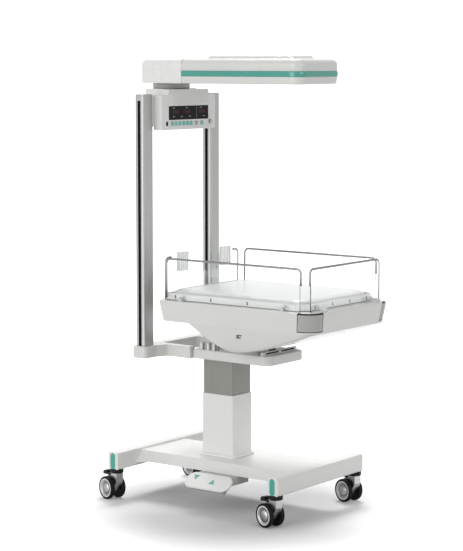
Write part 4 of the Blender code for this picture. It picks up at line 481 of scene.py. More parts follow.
# %% [markdown]
# ## Brushed and drawn metal
# The uprights are drawn aluminium and the lift's inner stage is a ground steel box: both carry
# fine lines along their height. Noise squeezed along Z gives such lines, and it moves the
# roughness and the bump as well as the tone, so that they also glint.

# %% Build the drawn lines group
LINE_SQUEEZE = (1.0, 1.0, 0.012)
BROAD_SCALE = 60.0
drawn, given, put = shader_group(
    "drawn_lines",
    [
        ("Colour", "NodeSocketColor", (0.6, 0.6, 0.58, 1.0)),
        ("Roughness", "NodeSocketFloat", 0.35),
        ("Line Scale", "NodeSocketFloat", 420.0),
        ("Line Change", "NodeSocketFloat", 0.12),
    ],
    [("Colour", "NodeSocketColor"), ("Roughness", "NodeSocketFloat"), ("Lines", "NodeSocketFloat")],
)
squeeze = drawn.nodes.new("ShaderNodeVectorMath")
squeeze.operation = "MULTIPLY"
squeeze.inputs[1].default_value = LINE_SQUEEZE
drawn.links.new(own_place(drawn), squeeze.inputs[0])
lines = noise(drawn, squeeze.outputs[0], given.outputs["Line Scale"], 2.0)
broad = noise(drawn, squeeze.outputs[0], BROAD_SCALE, 2.0)
both = math_node(drawn, "SUBTRACT", math_node(drawn, "ADD", lines, broad), 1.0)
change = math_node(drawn, "MULTIPLY", both, given.outputs["Line Change"])
tinted = scaled(drawn, given.outputs["Colour"], math_node(drawn, "ADD", change, 1.0))
drawn.links.new(tinted, put.inputs["Colour"])
drawn.links.new(math_node(drawn, "ADD", change, given.outputs["Roughness"], True), put.inputs["Roughness"])
drawn.links.new(lines, put.inputs["Lines"])
print(drawn.name, len(drawn.nodes), "nodes")


# %% Finishes with drawn lines
def drawn_finish(name, colour, roughness, metallic, change=0.12, bump=0.06):
    """A metal whose fine upright lines come from the drawn lines group."""
    material = finish(name, colour, roughness, metallic)
    tree = material.node_tree
    shader = principled(material)
    tree.nodes.remove(tree.nodes["drift"])
    lined = tree.nodes.new("ShaderNodeGroup")
    lined.node_tree = drawn
    lined.name = "lines"
    lined.inputs["Colour"].default_value = (*colour, 1.0)
    lined.inputs["Roughness"].default_value = roughness
    lined.inputs["Line Change"].default_value = change
    tree.links.new(lined.outputs["Colour"], shader.inputs["Base Color"])
    tree.links.new(lined.outputs["Roughness"], shader.inputs["Roughness"])
    tree.nodes["relief"].inputs["Strength"].default_value = bump
    tree.links.new(lined.outputs["Lines"], tree.nodes["relief"].inputs["Height"])
    return material


stage_grey = drawn_finish("stage_ground_steel", (0.205, 0.21, 0.19), 0.36, 0.5)
aluminium = drawn_finish("aluminium_drawn", (0.39, 0.40, 0.385), 0.30, 0.8)
print("drawn metals:", stage_grey.name, aluminium.name)

# %% [markdown]
# ## Clear guards
# The guards are 4 mm acrylic. A plain glass shader does that: what is behind stays clear and the
# rims catch the light. The room's white ground shows in it, which is why the rims look white.

# %% Mix the acrylic
ACRYLIC_IOR = 1.49


def clear_finish(name, colour, roughness, cloudy=0.0):
    """Glass with a faint drift in its roughness; cloudy from 0 to 1 makes it milky."""
    material = finish(name, colour, roughness, gloss=0.03, tone=0.01, bump=0.01)
    shader = principled(material)
    shader.inputs["Transmission Weight"].default_value = 1.0 - cloudy
    shader.inputs["IOR"].default_value = ACRYLIC_IOR
    return material


acrylic = clear_finish("clear_acrylic", (0.97, 0.98, 0.98), 0.015)
cloudy_clip = clear_finish("cloudy_polymer", (0.86, 0.88, 0.87), 0.30, cloudy=0.55)
print(len(bpy.data.materials), "finishes")

# %% [markdown]
# ## Pieces carried over from the solids
# Folded sheet, castings and boxes keep the shape of their solid. What a solid lacks is the small
# round that every real edge has, and that the eye reads as a bright line. Each such solid is
# copied, its loose triangles are merged into clean faces, and a Bevel modifier rounds the edges.


def takes_place_of(piece, *nodes):
    """The piece shows instead of the solids, and moves as they do."""
    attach(piece, body_of(NODES[nodes[0]])[0])
    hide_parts(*nodes)
    return piece


def clothe(piece, *materials):
    """Gives a piece these materials and no others; the first one covers all its faces."""
    piece.data.materials.clear()
    for material in materials:
        piece.data.materials.append(material)


# %% Copy a solid and round its edges
MERGE_WITHIN = 2e-6
FLAT_ANGLE = math.radians(0.5)
CREASE_ANGLE = math.radians(35.0)


def rounded_copy(node, width, materials, segments=2, angle=30.0):
    """A copy of a solid with merged faces and rounded edges."""
    mesh = bpy.data.meshes.new(f"{node}_dressed")
    drawing = bmesh.new()
    drawing.from_mesh(NODES[node].data)
    bmesh.ops.remove_doubles(drawing, verts=drawing.verts, dist=MERGE_WITHIN)
    bmesh.ops.dissolve_limit(drawing, angle_limit=FLAT_ANGLE, verts=drawing.verts, edges=drawing.edges)
    drawing.to_mesh(mesh)
    drawing.free()
    mesh.shade_smooth()
    mesh.set_sharp_from_angle(angle=CREASE_ANGLE)
    piece = placed(mesh.name, mesh)
    if width:
        edge = piece.modifiers.new("edges", "BEVEL")
        edge.width = width
        edge.segments = segments
        edge.limit_method = "ANGLE"
        edge.angle_limit = math.radians(angle)
        edge.use_clamp_overlap = True
        even = piece.modifiers.new("even_shading", "WEIGHTED_NORMAL")
        even.keep_sharp = True
    clothe(piece, *(materials if isinstance(materials, tuple) else (materials,)))
    return takes_place_of(piece, node)


# %% Paint faces by where they lie
def face_centres(mesh):
    """The middle of each face, as an array of shape (faces, 3)."""
    centres = np.empty(len(mesh.polygons) * 3)
    mesh.polygons.foreach_get("center", centres)
    return centres.reshape(-1, 3)


def paint_faces(piece, chosen, slot):
    """Gives the faces picked by a mask over their centres another of the piece's materials."""
    mesh = piece.data
    indices = np.empty(len(mesh.polygons), dtype=np.int32)
    mesh.polygons.foreach_get("material_index", indices)
    indices[chosen(face_centres(mesh))] = slot
    mesh.polygons.foreach_set("material_index", indices)
    mesh.update()


# %% [markdown]
# ## Surfaces from outlines
# Most of the mouldings are a rounded rectangle in plan whose size changes with height. So a piece
# is a stack of outlines: every outline has the same number of points round it, and each row of
# the grid is one outline at one height. Rows that shrink to nothing close the piece.

# %% Outlines and stacks
def rounded_outline(low, high, radii, arc=12, side=16):
    """A rounded rectangle as an array of points, counter-clockwise from the left end of the front.

    Each corner is a quarter circle, centre + r (cos a, sin a), and straight runs join them.
    """
    (x0, y0), (x1, y1) = low, high
    front_left, front_right, back_right, back_left = radii
    centres = (
        (x0 + front_left, y0 + front_left, front_left, math.pi),
        (x1 - front_right, y0 + front_right, front_right, 1.5 * math.pi),
        (x1 - back_right, y1 - back_right, back_right, 0.0),
        (x0 + back_left, y1 - back_left, back_left, 0.5 * math.pi),
    )
    arcs = []
    for x, y, r, start in centres:
        a = start + np.linspace(0.0, math.pi / 2, arc + 1)
        arcs.append(np.stack([x + r * np.cos(a), y + r * np.sin(a)], axis=-1))
    runs = []
    share = np.linspace(0.0, 1.0, side + 2)[1:-1, None]
    for here, ahead in zip(arcs, arcs[1:] + arcs[:1]):
        runs += [here, here[-1] * (1 - share) + ahead[0] * share]
    return np.concatenate(runs)


def stack(outlines, levels):
    """Outlines at heights, as a grid of shape (rows, columns, 3)."""
    return np.array([np.column_stack([outline, np.full(len(outline), level)])
                     for outline, level in zip(outlines, levels)])


def drawn_in(outline, share):
    """The outline shrunk about its middle; a share of 0 makes it one point, which closes a piece."""
    middle = outline.mean(axis=0)
    return middle + (outline - middle) * share


# %% Turned surfaces
def quarter(steps):
    """Pairs of sine and cosine for angles from 0 to a right angle."""
    a = np.linspace(0.0, math.pi / 2, steps)
    return list(zip(np.sin(a), np.cos(a)))


def turned_surface(name, profile, centre, axis, sides=96):
    """Turns (radius, along) rows about an axis.

    Each point is centre + along * axis + radius * (u cos a + v sin a), u and v square to the axis.
    """
    profile = np.asarray(profile, float)
    axis = np.asarray(axis, float) / np.linalg.norm(axis)
    u = np.cross(axis, (0.0, 0.0, 1.0) if abs(axis[2]) < 0.9 else (0.0, 1.0, 0.0))
    u /= np.linalg.norm(u)
    v = np.cross(axis, u)
    a = np.linspace(0.0, 2 * math.pi, sides, endpoint=False)
    round_it = np.cos(a)[:, None] * u + np.sin(a)[:, None] * v
    points = np.asarray(centre, float) + profile[:, 1, None, None] * axis
    points = points + profile[:, 0, None, None] * round_it[None]
    return surface(name, points, close_v=True)


# %% Tubes along bent paths
TUBE_ACROSS = np.array([0.5773, 0.2113, 0.7887])


def ring_shape(first, second, sides):
    """Circles spanned by two directions at each point of a path: first cos a + second sin a."""
    a = np.linspace(0.0, 2 * math.pi, sides, endpoint=False)
    return first[:, None] * np.cos(a)[None, :, None] + second[:, None] * np.sin(a)[None, :, None]


def tube(name, path, radius, sides=20):
    """A round rod along a path. Each ring is square to the path and to one fixed slanting direction."""
    path = np.asarray(path, float)
    along = np.gradient(path, axis=0)
    along /= np.linalg.norm(along, axis=1)[:, None]
    side = np.cross(along, TUBE_ACROSS)
    side /= np.linalg.norm(side, axis=1)[:, None]
    ring = ring_shape(side, np.cross(side, along), sides)
    return surface(name, path[:, None] + ring * radius, close_v=True, cap_start=True, cap_end=True)


def bent_path(corners, radius, steps=14):
    """Straight runs joined by arcs: each corner is replaced by a circle that touches both runs."""
    corners = [np.asarray(corner, float) for corner in corners]
    points = [corners[0][None]]
    for before, corner, after in zip(corners, corners[1:], corners[2:]):
        back = (before - corner) / np.linalg.norm(before - corner)
        ahead = (after - corner) / np.linalg.norm(after - corner)
        half = math.acos(float(back @ ahead)) / 2
        centre = corner + (back + ahead) / np.linalg.norm(back + ahead) * radius / math.sin(half)
        start = corner + back * radius / math.tan(half) - centre
        end = corner + ahead * radius / math.tan(half) - centre
        sweep = math.pi - 2 * half
        share = np.linspace(0.0, 1.0, steps)[:, None]
        arc = start * np.sin((1 - share) * sweep) + end * np.sin(share * sweep)
        points.append(centre + arc / math.sin(sweep))
    points.append(corners[-1][None])
    return np.concatenate(points)


# %% Bake and carve
def bake(piece):
    """Keeps what the modifiers make as the piece's own mesh."""
    made = bpy.data.meshes.new_from_object(piece.evaluated_get(bpy.context.evaluated_depsgraph_get()))
    piece.modifiers.clear()
    old, piece.data = piece.data, made
    bpy.data.meshes.remove(old)


def carve(piece, *tools):
    """Cuts closed shapes out of a piece and keeps the result as its mesh."""
    for tool in tools:
        step = piece.modifiers.new("carve", "BOOLEAN")
        step.object = tool
        step.operation = "DIFFERENCE"
        step.solver = "EXACT"
    bpy.context.view_layer.update()
    bake(piece)
    for tool in tools:
        bpy.data.objects.remove(tool, do_unlink=True)
    piece.data.shade_smooth()
    piece.data.set_sharp_from_angle(angle=CREASE_ANGLE)


# %% [markdown]
# ## Base
# The base is folded and welded sheet, powder coated. The blue-green strips at the rail ends are
# rubber bumpers and the black rings under them hold the casters, so three finishes meet on one
# solid. Faces are picked by where they lie: beyond the rail's end, or under its bottom.

# %% Dress the rails, the deck and the column
BUMPER_DEPTH = 0.0029
COLLAR_DEPTH = 0.0168
for node in ("rail_front", "rail_rear"):
    low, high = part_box(node)
    rail = rounded_copy(node, 0.0012, (white_paint, teal_satin, black_satin))
    middle, reach = (low.x + high.x) / 2, (high.x - low.x) / 2
    paint_faces(rail, lambda c: np.abs(c[:, 0] - middle) > reach - BUMPER_DEPTH, 1)
    paint_faces(rail, lambda c: c[:, 2] < low.z + COLLAR_DEPTH, 2)
rounded_copy("base_deck", 0.0015, white_paint)
rounded_copy("lift_sleeve", 0.0015, white_paint)
rounded_copy("lift_inner_stage", 0.0012, stage_grey)
rounded_copy("lift_drive", 0.0015, silver)
rounded_copy("foot_switch_housing", 0.0012, grey_shell)
print("base dressed")

# %% [markdown]
# ## Casters
# A twin-wheel caster is a body of revolution: a domed silver cap, a pale ring, a black tread with
# rounded shoulders, and the same again mirrored. One profile is turned about the axle, and each
# row of the profile has its own material, so the colours change exactly at the steps.

# %% Profile of the twin wheels
WHEEL_REACH, WHEEL_WIDTH, WHEEL_RADIUS = 0.0379, 0.020, 0.0496
CAP_RADIUS, CAP_SUNK, CAP_RISE = 0.0235, 0.0046, 0.0068
SHOULDER = 0.005
RUBBER, METAL, RING = 0, 1, 2
# Between the cap and the tread: (radius, depth below the wheel's outer face, material).
FACE_STEPS = (
    (0.0243, 0.0050, RUBBER), (0.0262, 0.0052, METAL), (0.0300, 0.0046, METAL), (0.0336, 0.0030, RUBBER),
    (0.0341, 0.0024, RING), (0.0352, 0.0010, RING), (0.0385, 0.0008, RING), (0.0400, 0.0014, RING),
    (0.0404, 0.0030, RUBBER), (0.0414, 0.0030, RUBBER), (0.0420, 0.0004, RUBBER),
)
# From the tread down to the axle: (radius, depth below the wheel's inner face, material).
BACK_STEPS = (
    (0.0400, 0.0006, RUBBER), (0.0390, 0.0030, RUBBER), (0.0150, 0.0030, RUBBER),
    (0.0140, 0.0, RUBBER), (0.0062, 0.0, METAL),
)
# The cap is a quarter ellipse, and each shoulder of the tread a quarter circle.
outer, inner, flat = WHEEL_REACH, WHEEL_REACH - WHEEL_WIDTH, WHEEL_RADIUS - SHOULDER
half_rows = [(CAP_RADIUS * si, outer - CAP_SUNK + CAP_RISE * ci, METAL) for si, ci in quarter(9)]
half_rows += [(radius, outer - depth, slot) for radius, depth, slot in FACE_STEPS]
half_rows += [(flat + SHOULDER * si, outer - SHOULDER + SHOULDER * ci, RUBBER) for si, ci in quarter(9)]
half_rows += [(WHEEL_RADIUS, (outer + inner) / 2 + 0.0005, RUBBER)]
half_rows += [(flat + SHOULDER * ci, inner + SHOULDER - SHOULDER * si, RUBBER) for si, ci in quarter(9)]
half_rows += [(radius, inner + depth, slot) for radius, depth, slot in BACK_STEPS]
wheel_profile = [(r, x) for r, x, _ in half_rows] + [(r, -x) for r, x, _ in reversed(half_rows)]
row_slots = [m for _, _, m in half_rows] + [m for _, _, m in reversed(half_rows)][1:] + [METAL]
row_radii, row_places = np.array(wheel_profile).T
print("twin wheels", len(wheel_profile), "rows")

# %% Turn the wheels and dress the forks and pedals
CASTER_TURN = math.radians(-15.2)
AXLE = np.array([math.cos(CASTER_TURN), math.sin(CASTER_TURN), 0.0])
mid_radius = (row_radii[1:] + row_radii[:-1]) / 2
mid_place = (row_places[1:] + row_places[:-1]) / 2


def paint_rows(piece, centre):
    """Gives each face the material of the row whose middle radius and place lie closest to it."""
    offset = face_centres(piece.data) - centre
    along = offset @ AXLE
    radius = np.linalg.norm(offset - along[:, None] * AXLE, axis=1)
    gap = (along[:, None] - mid_place) ** 2 + (radius[:, None] - mid_radius) ** 2
    slots = np.array(row_slots, dtype=np.int32)[gap.argmin(axis=1)]
    piece.data.polygons.foreach_set("material_index", slots)
    piece.data.update()


for place in ("front_left", "front_right", "rear_left", "rear_right"):
    low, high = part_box(f"caster_wheels_{place}")
    centre = np.array((low + high) / 2)
    wheels = turned_surface(f"twin_wheels_{place}", wheel_profile, centre, AXLE)
    clothe(wheels, tyre_black, dome_metal, ring_pale)
    paint_rows(wheels, centre)
    wheels.data.set_sharp_from_angle(angle=math.radians(40.0))
    takes_place_of(wheels, f"caster_wheels_{place}")
    rounded_copy(f"caster_fork_{place}", 0.0022, silver, 3)
    rounded_copy(f"brake_pedal_{place}", 0.0016, black_satin, 3)
print("casters dressed, each pair of wheels", len(wheels.data.polygons), "faces")

# %% [markdown]
# ## Foot switch
# The pad is one oval moulding that rocks. Its two marks are plain triangles, one pointing up and
# one down, moulded a hair proud of the pad, so they are small plates that move with it.

# %% Dress the pad and add its marks
PAD_TILT = math.radians(38.0)
PAD_ACROSS = np.array([math.cos(PAD_TILT), 0.0, math.sin(PAD_TILT)])
PAD_FACING = np.array([-math.sin(PAD_TILT), 0.0, math.cos(PAD_TILT)])
PAD_HALF_THICK = 0.0070
rounded_copy("foot_rocker", 0.0018, bright_shell, 3, 25.0)
low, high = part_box("foot_rocker")
pad_top = np.array((low + high) / 2) + PAD_FACING * PAD_HALF_THICK


def mark_points(middle, up, half=0.015, height=0.0004):
    """A triangle on the pad: its base lies along the pad and its tip points up or down the slope."""
    tip = half * 0.9
    corners = np.array([[-tip, -half], [-tip, half], [tip, 0.0]]) * (1 if up else -1)
    flat = middle + corners[:, :1] * PAD_ACROSS + corners[:, 1:] * np.array([0.0, 1.0, 0.0])
    return np.array([flat, flat + PAD_FACING * height])


mark_teal = finish("mark_teal", (0.16, 0.47, 0.40), 0.40)
for name, across, along, up in (("mark_down", 0.010, 0.068, False), ("mark_up", 0.0, -0.024, True)):
    middle = pad_top + PAD_ACROSS * across + np.array([0.0, along, 0.0])
    mark = surface(name, mark_points(middle, up), close_v=True, cap_start=True, cap_end=True)
    clothe(mark, mark_teal)
    mark.data.shade_flat()
    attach(mark, body_of(NODES["foot_rocker"])[0])
print("foot switch dressed")

# %% [markdown]
# ## Yoke, bracket and uprights
# The yoke is a painted box and casting. The uprights are drawn aluminium with an undercut
# slot in each side face, which the light never reaches: the slot's faces are painted black as shade.

# %% Dress the yoke and the bracket
BOLT_HEADS = 0.0062
PLATE_DEPTH = 0.0125
PLATE_TOP = 0.0135
SLOT_DEPTHS = (0.0006, 0.0066)
SLOT_HEIGHTS = (0.0025, 0.0105)
SLOT_HALF_SPAN = 0.102
low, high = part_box("yoke_frame")
yoke = rounded_copy("yoke_frame", 0.0025, (casting_white, black_satin), 3)
paint_faces(yoke, lambda c: c[:, 2] < low.z + BOLT_HEADS, 1)
rounded_copy("yoke_box", 0.0015, casting_white, 3)
low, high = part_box("tilt_bracket")
bracket = rounded_copy("tilt_bracket", 0.0008, (silver, recess_shade_black, white_paint))
paint_faces(bracket, lambda c: (c[:, 1] < low.y + PLATE_DEPTH) & (c[:, 2] < low.z + PLATE_TOP), 2)


def in_plate_slots(c):
    """Faces inside the two slots of the bracket's front plate."""
    depth, height = c[:, 1] - low.y, c[:, 2] - low.z
    middle = np.abs(c[:, 0] - (low.x + high.x) / 2) < SLOT_HALF_SPAN
    deep = (depth > SLOT_DEPTHS[0]) & (depth < SLOT_DEPTHS[1])
    return deep & (height > SLOT_HEIGHTS[0]) & (height < SLOT_HEIGHTS[1]) & middle


# The slots' faces are painted black: painted shade inside the slots.
paint_faces(bracket, in_plate_slots, 1)
print("yoke", len(yoke.data.polygons), "faces, bracket", len(bracket.data.polygons))

# %% [markdown]
# ## Pivot block
# Past the belly's rear corner the photograph shows three pale posts before a grey plate, standing
# on the yoke's box. No solid has them, so they are made here and move with the box. The plate is
# an outline carried straight up, and each post is a profile turned about an upright axis.

# %% Stand the pivot block on the yoke box
POST_HEIGHT = 0.031
POST_RADIUS = 0.0062
POST_BEVEL = 0.001
POST_X = 0.013
POST_BACKS = (0.039, 0.074, 0.104)
PLATE_HEIGHT = 0.029
PLATE_CORNER = 0.002
PLATE_X = (0.022, 0.034)
PLATE_BACKS = (0.116, 0.030)
SUNK = 0.0005
ROUND_ANGLE = math.radians(50.0)
low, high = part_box("yoke_box")
post_rows = [(0.0, -SUNK), (POST_RADIUS, -SUNK), (POST_RADIUS, POST_HEIGHT - POST_BEVEL),
             (POST_RADIUS - POST_BEVEL, POST_HEIGHT), (0.0, POST_HEIGHT)]
front_left, back_right = ((low.x + x, high.y - back) for x, back in zip(PLATE_X, PLATE_BACKS))
plate_plan = rounded_outline(front_left, back_right, [PLATE_CORNER] * 4, 4, 2)
plate_grid = stack([plate_plan, plate_plan], [high.z - SUNK, high.z + PLATE_HEIGHT])
plate = surface("pivot_plate", plate_grid, close_v=True, cap_start=True, cap_end=True)
clothe(plate, grey_shell)
plate.data.shade_flat()
posts = []
for k, back in enumerate(POST_BACKS, start=1):
    foot = (low.x + POST_X, high.y - back, high.z)
    post = turned_surface(f"pivot_post_{k}", post_rows, foot, (0.0, 0.0, 1.0), 32)
    clothe(post, white_paint)
    post.data.set_sharp_from_angle(angle=ROUND_ANGLE)
    posts.append(post)
for piece in (plate, *posts):
    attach(piece, body_of(NODES["yoke_box"])[0])
print("pivot block of", 1 + len(posts), "pieces")

# %% Dress the uprights
SLOT_REACH = (0.0325, 0.0126)
END_CAP = 0.0268
for node in ("upright_left", "upright_right"):
    low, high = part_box(node)
    middle = np.array((low + high) / 2)
    upright = rounded_copy(node, 0.0006, (aluminium, recess_shade_black, grey_shell), 2, 50.0)
    # The slot's faces are painted black: painted shade in the slot.
    paint_faces(upright, lambda c: (np.abs(c[:, :2] - middle[:2]) < SLOT_REACH).all(axis=1), 1)
    paint_faces(upright, lambda c: c[:, 2] > high.z - END_CAP, 2)
rounded_copy("crosshead", 0.0015, white_paint)
print("uprights dressed")

# %% [markdown]
# ## Control panel
# A moulded housing with a sunk black window, eight soft keys, a round socket and a knob. The
# solids carry all of these, so they keep their shapes and get rounder edges. On the dark glass
# a few dim numerals and marks glow: each is a set of small flat bars, a hair proud of the glass.

# %% Dress the panel
PORT_DEPTHS = (0.0008, 0.0106)
PORT_X, PORT_HALF, PORT_TOP = 0.036, 0.0072, 0.045
low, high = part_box("panel_housing")
panel = rounded_copy("panel_housing", 0.0022, (bright_shell, recess_shade_black), 3)


def in_port(c):
    """Faces inside the round socket at the panel's lower left."""
    deep = (c[:, 1] > low.y + PORT_DEPTHS[0]) & (c[:, 1] < low.y + PORT_DEPTHS[1])
    return deep & (np.abs(c[:, 0] - low.x - PORT_X) < PORT_HALF) & (c[:, 2] < low.z + PORT_TOP)


# The socket's inner faces are painted black: painted shade inside the hole.
paint_faces(panel, in_port, 1)
rounded_copy("display_window", 0.0006, display_black)
key_teal = finish("key_teal", (0.20, 0.56, 0.49), 0.40, bump=0.05)
for node in [f"mode_key_{k}" for k in range(1, 7)] + ["start_key"]:
    rounded_copy(node, 0.0008, key_teal)
rounded_copy("silence_key", 0.0008, grey_shell)
print("panel", len(panel.data.polygons), "faces")

# %% Turn the knob
KNOB_FACE, KNOB_ROUND, KNOB_BASE = 0.0074, 0.0014, 0.0089
low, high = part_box("selector_knob")
length = high.y - low.y
knob_rows = [(0.0, 0.0)]
knob_rows += [(KNOB_FACE + KNOB_ROUND * si, KNOB_ROUND - KNOB_ROUND * ci) for si, ci in quarter(6)]
knob_rows += [(KNOB_BASE, length), (0.0, length)]
knob_front = ((low.x + high.x) / 2, low.y, (low.z + high.z) / 2)
knob = turned_surface("knob", knob_rows, knob_front, (0.0, 1.0, 0.0), 64)
clothe(knob, silver)
takes_place_of(knob, "selector_knob")
print("knob", len(knob.data.polygons), "faces")


# %% Bars and numerals
def flat_bars(name, bars, y, depth=0.0002):
    """Thin boxes from an array of (x0, z0, x1, z1), standing in front of the plane y."""
    bars = np.asarray(bars, float)
    x, z = bars[:, [0, 2, 2, 0]], bars[:, [1, 1, 3, 3]]
    front = np.stack([x, np.full(x.shape, y - depth), z], axis=-1)
    back = np.stack([x, np.full(x.shape, y), z], axis=-1)
    points = np.concatenate([front, back], axis=1).reshape(-1, 3)
    box = np.array([[0, 1, 2, 3], [7, 6, 5, 4], [0, 4, 5, 1], [1, 5, 6, 2], [2, 6, 7, 3], [3, 7, 4, 0]])
    faces = (np.arange(len(bars))[:, None, None] * 8 + box).reshape(-1, 4)
    mesh = bpy.data.meshes.new(name)
    mesh.from_pydata(points.tolist(), [], faces.tolist())
    return placed(name, mesh)


def numeral_bars(x, z, width=0.0075, height=0.0140, line=0.0013):
    """The seven bars of a numeral whose lower left corner is at x, z."""
    gap = line + 0.0002
    level = [(x + gap, z + up, x + width - gap, z + up + line)
             for up in (0.0, (height - line) / 2, height - line)]
    half = height / 2
    upright = [(x + across, z + up + gap, x + across + line, z + up + half - gap)
               for across in (0.0, width - line) for up in (0.0, half)]
    return level + upright


# %% Light the display
NUMERAL_PLACES = (0.10, 0.155, 0.21, 0.40, 0.455, 0.51, 0.76, 0.815, 0.87)
MARK_PLACES = ((0.10, 0.83), (0.42, 0.83), (0.78, 0.83), (0.10, 0.2), (0.30, 0.2), (0.50, 0.2), (0.86, 0.2))
MARK_SIZE = 0.05
NUMERAL_RISE = 0.46
DIVIDER = (0.695, 0.1, 0.699, 0.9)
low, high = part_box("display_window")
wide, tall = high.x - low.x, high.z - low.z
glow_red = finish("numeral_red", (0.10, 0.012, 0.014), 0.5)
glow_pale = finish("mark_pale", (0.16, 0.16, 0.17), 0.5)
for glow, colour, power in ((glow_red, (0.9, 0.06, 0.08), 0.10), (glow_pale, (0.8, 0.85, 0.9), 0.16)):
    shader = principled(glow)
    shader.inputs["Emission Color"].default_value = (*colour, 1.0)
    shader.inputs["Emission Strength"].default_value = power
numerals = [bar for share in NUMERAL_PLACES
            for bar in numeral_bars(low.x + share * wide, low.z + NUMERAL_RISE * tall)]
shares = [(x, z, x + MARK_SIZE, z + MARK_SIZE) for x, z in MARK_PLACES] + [DIVIDER]
marks = [(low.x + x0 * wide, low.z + z0 * tall, low.x + x1 * wide, low.z + z1 * tall)
         for x0, z0, x1, z1 in shares]
for name, bars, glow in (("numerals", numerals, glow_red), ("display_marks", marks, glow_pale)):
    lit = flat_bars(name, bars, low.y - 0.0001)
    lit.data.materials.append(glow)
    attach(lit, body_of(NODES["display_window"])[0])
print("display", len(numerals), "bars in its numerals and", len(marks), "marks")

# %% [markdown]
# ## Heater head
# The canopy is three thin mouldings over a heater: a white top with a raised plateau, a glossy
# blue-green band, and a white lower rim round the opening. In plan all are the same rounded
# rectangle. Each is one closed surface: down the outside, in along the bottom, up the wall of the
# heater's well, and for the top one also across the well's ceiling, so the heater still shows
# from below. The height of the top is a formula in x and y.

# %% Plan of the canopy and of its well
CORNER = 0.045
SEAM_CORNER = 0.004
WELL_GAP = 0.0004
WELL_CORNER = 0.02
SIDE = 72
top_low, top_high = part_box("canopy_top")
HEAD_X = (top_low.x + top_high.x) / 2
HALF_HEAD = (top_high.x - top_low.x) / 2
well_low, well_high = (np.array(corner)[:2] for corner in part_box("heater_guard"))
WELL = rounded_outline(well_low - WELL_GAP, well_high + WELL_GAP, [WELL_CORNER] * 4, side=SIDE)


def canopy_outline(inset, seam=0.0):
    """The canopy's plan, drawn in by an inset at the front and sides and by a seam at the back."""
    reach = min(inset, HALF_HEAD)
    corner = min(max(CORNER - 0.7 * inset, SEAM_CORNER), HALF_HEAD - reach)
    back = min(SEAM_CORNER, corner)
    low = (top_low.x + reach, top_low.y + inset)
    high = (top_high.x - reach, top_high.y - seam)
    return rounded_outline(low, high, (corner, corner, back, back), side=SIDE)


print("canopy", round(2 * HALF_HEAD, 3), "m wide, its well", np.round(well_high - well_low, 3), "m")

# %% Rows over the shoulder, the roof and the plateau
CROWN_DROP = 0.0265
CROWN_INSET = 0.021
ROOF_BELOW_TOP = 0.013
ROOF_CAMBER = 0.0016
PLATEAU_HEIGHT = 0.0128
roof_z = top_high.z - ROOF_BELOW_TOP


def crown_rows(half, shares):
    """Rows of (inset, height) over the shoulder, a quarter ellipse, and on to the middle of the roof.

    The roof's height is roof_z - camber * (1 - share)^2, so it rises a little towards the middle.
    """
    drop = CROWN_DROP - ROOF_CAMBER
    rows = [(CROWN_INSET * (1 - ci), roof_z - CROWN_DROP + drop * si) for si, ci in quarter(9)]
    return rows + [(CROWN_INSET + (half - CROWN_INSET) * share, roof_z - ROOF_CAMBER * (1 - share) ** 2)
                   for share in shares]


def plateau_rise(x, y, half_x=0.090, back=0.139, front=-0.309, slope=0.016, corner=0.022):
    """A smooth step over the distance inside a rounded rectangle.

    With t = distance inside / slope, kept between 0 and 1, it is height * (3 t^2 - 2 t^3).
    """
    half_y, middle = (back - front) / 2, (back + front) / 2
    qx, qy = np.abs(x - HEAD_X) - half_x + corner, np.abs(y - middle) - half_y + corner
    outside = np.hypot(np.maximum(qx, 0), np.maximum(qy, 0)) + np.minimum(np.maximum(qx, qy), 0) - corner
    t = np.clip(-outside / slope, 0.0, 1.0)
    return PLATEAU_HEIGHT * (3 * t**2 - 2 * t**3)


# %% The canopy's top
LOWER_EDGE = 0.0012
SEAM_DRAFT = 0.0025
rows = [(0.0, top_low.z + LOWER_EDGE)] + crown_rows(HALF_HEAD, np.linspace(0.0, 1.0, 40)[1:])
outer = stack([canopy_outline(inset, min(inset, SEAM_DRAFT)) for inset, _ in rows], [z for _, z in rows])
outer[:, :, 2] += plateau_rise(outer[:, :, 0], outer[:, :, 1])
well_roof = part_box("heater_reflector")[1].z + WELL_GAP
inner = [(canopy_outline(LOWER_EDGE), top_low.z), (WELL, top_low.z), (WELL, well_roof)]
inner += [(drawn_in(WELL, share), well_roof) for share in (0.5, 0.0)]
inside = stack([outline for outline, _ in inner], [z for _, z in inner])
canopy_top = surface("canopy_top_dressed", np.concatenate([outer[::-1], inside]), close_v=True)
clothe(canopy_top, white_shell)
canopy_top.data.set_sharp_from_angle(angle=ROUND_ANGLE)
takes_place_of(canopy_top, "canopy_top")
print("canopy top", len(canopy_top.data.polygons), "faces")


# %% The band and the lower rim
def rim_piece(name, node, rows, material):
    """Outer rows of (inset, height), then the well's wall back to the start: a closed ring."""
    outlines = [canopy_outline(inset) for inset, _ in rows] + [WELL, WELL]
    levels = [z for _, z in rows] + [rows[-1][1], rows[0][1]]
    piece = surface(name, stack(outlines, levels), close_u=True, close_v=True)
    clothe(piece, material)
    piece.data.set_sharp_from_angle(angle=ROUND_ANGLE)
    takes_place_of(piece, node)
    print(name, len(piece.data.polygons), "faces")


BAND_PROUD, BAND_ROUND = 0.0024, 0.0030
RIM_TAPER, RIM_ROUND = 0.003, 0.007
low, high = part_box("canopy_band")
bulge = [(-BAND_PROUD * si, low.z + BAND_ROUND * (1 - ci)) for si, ci in quarter(6)]
bulge += [(-BAND_PROUD * ci, high.z - BAND_ROUND * (1 - si)) for si, ci in quarter(6)]
rim_piece("canopy_band_dressed", "canopy_band", bulge[::-1], teal_gloss)
low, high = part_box("canopy_bottom")
under = [(0.0, high.z)]
under += [(RIM_TAPER + RIM_ROUND * (1 - ci), low.z + RIM_ROUND * (1 - si)) for si, ci in quarter(6)]
rim_piece("canopy_bottom_dressed", "canopy_bottom", under, white_shell)

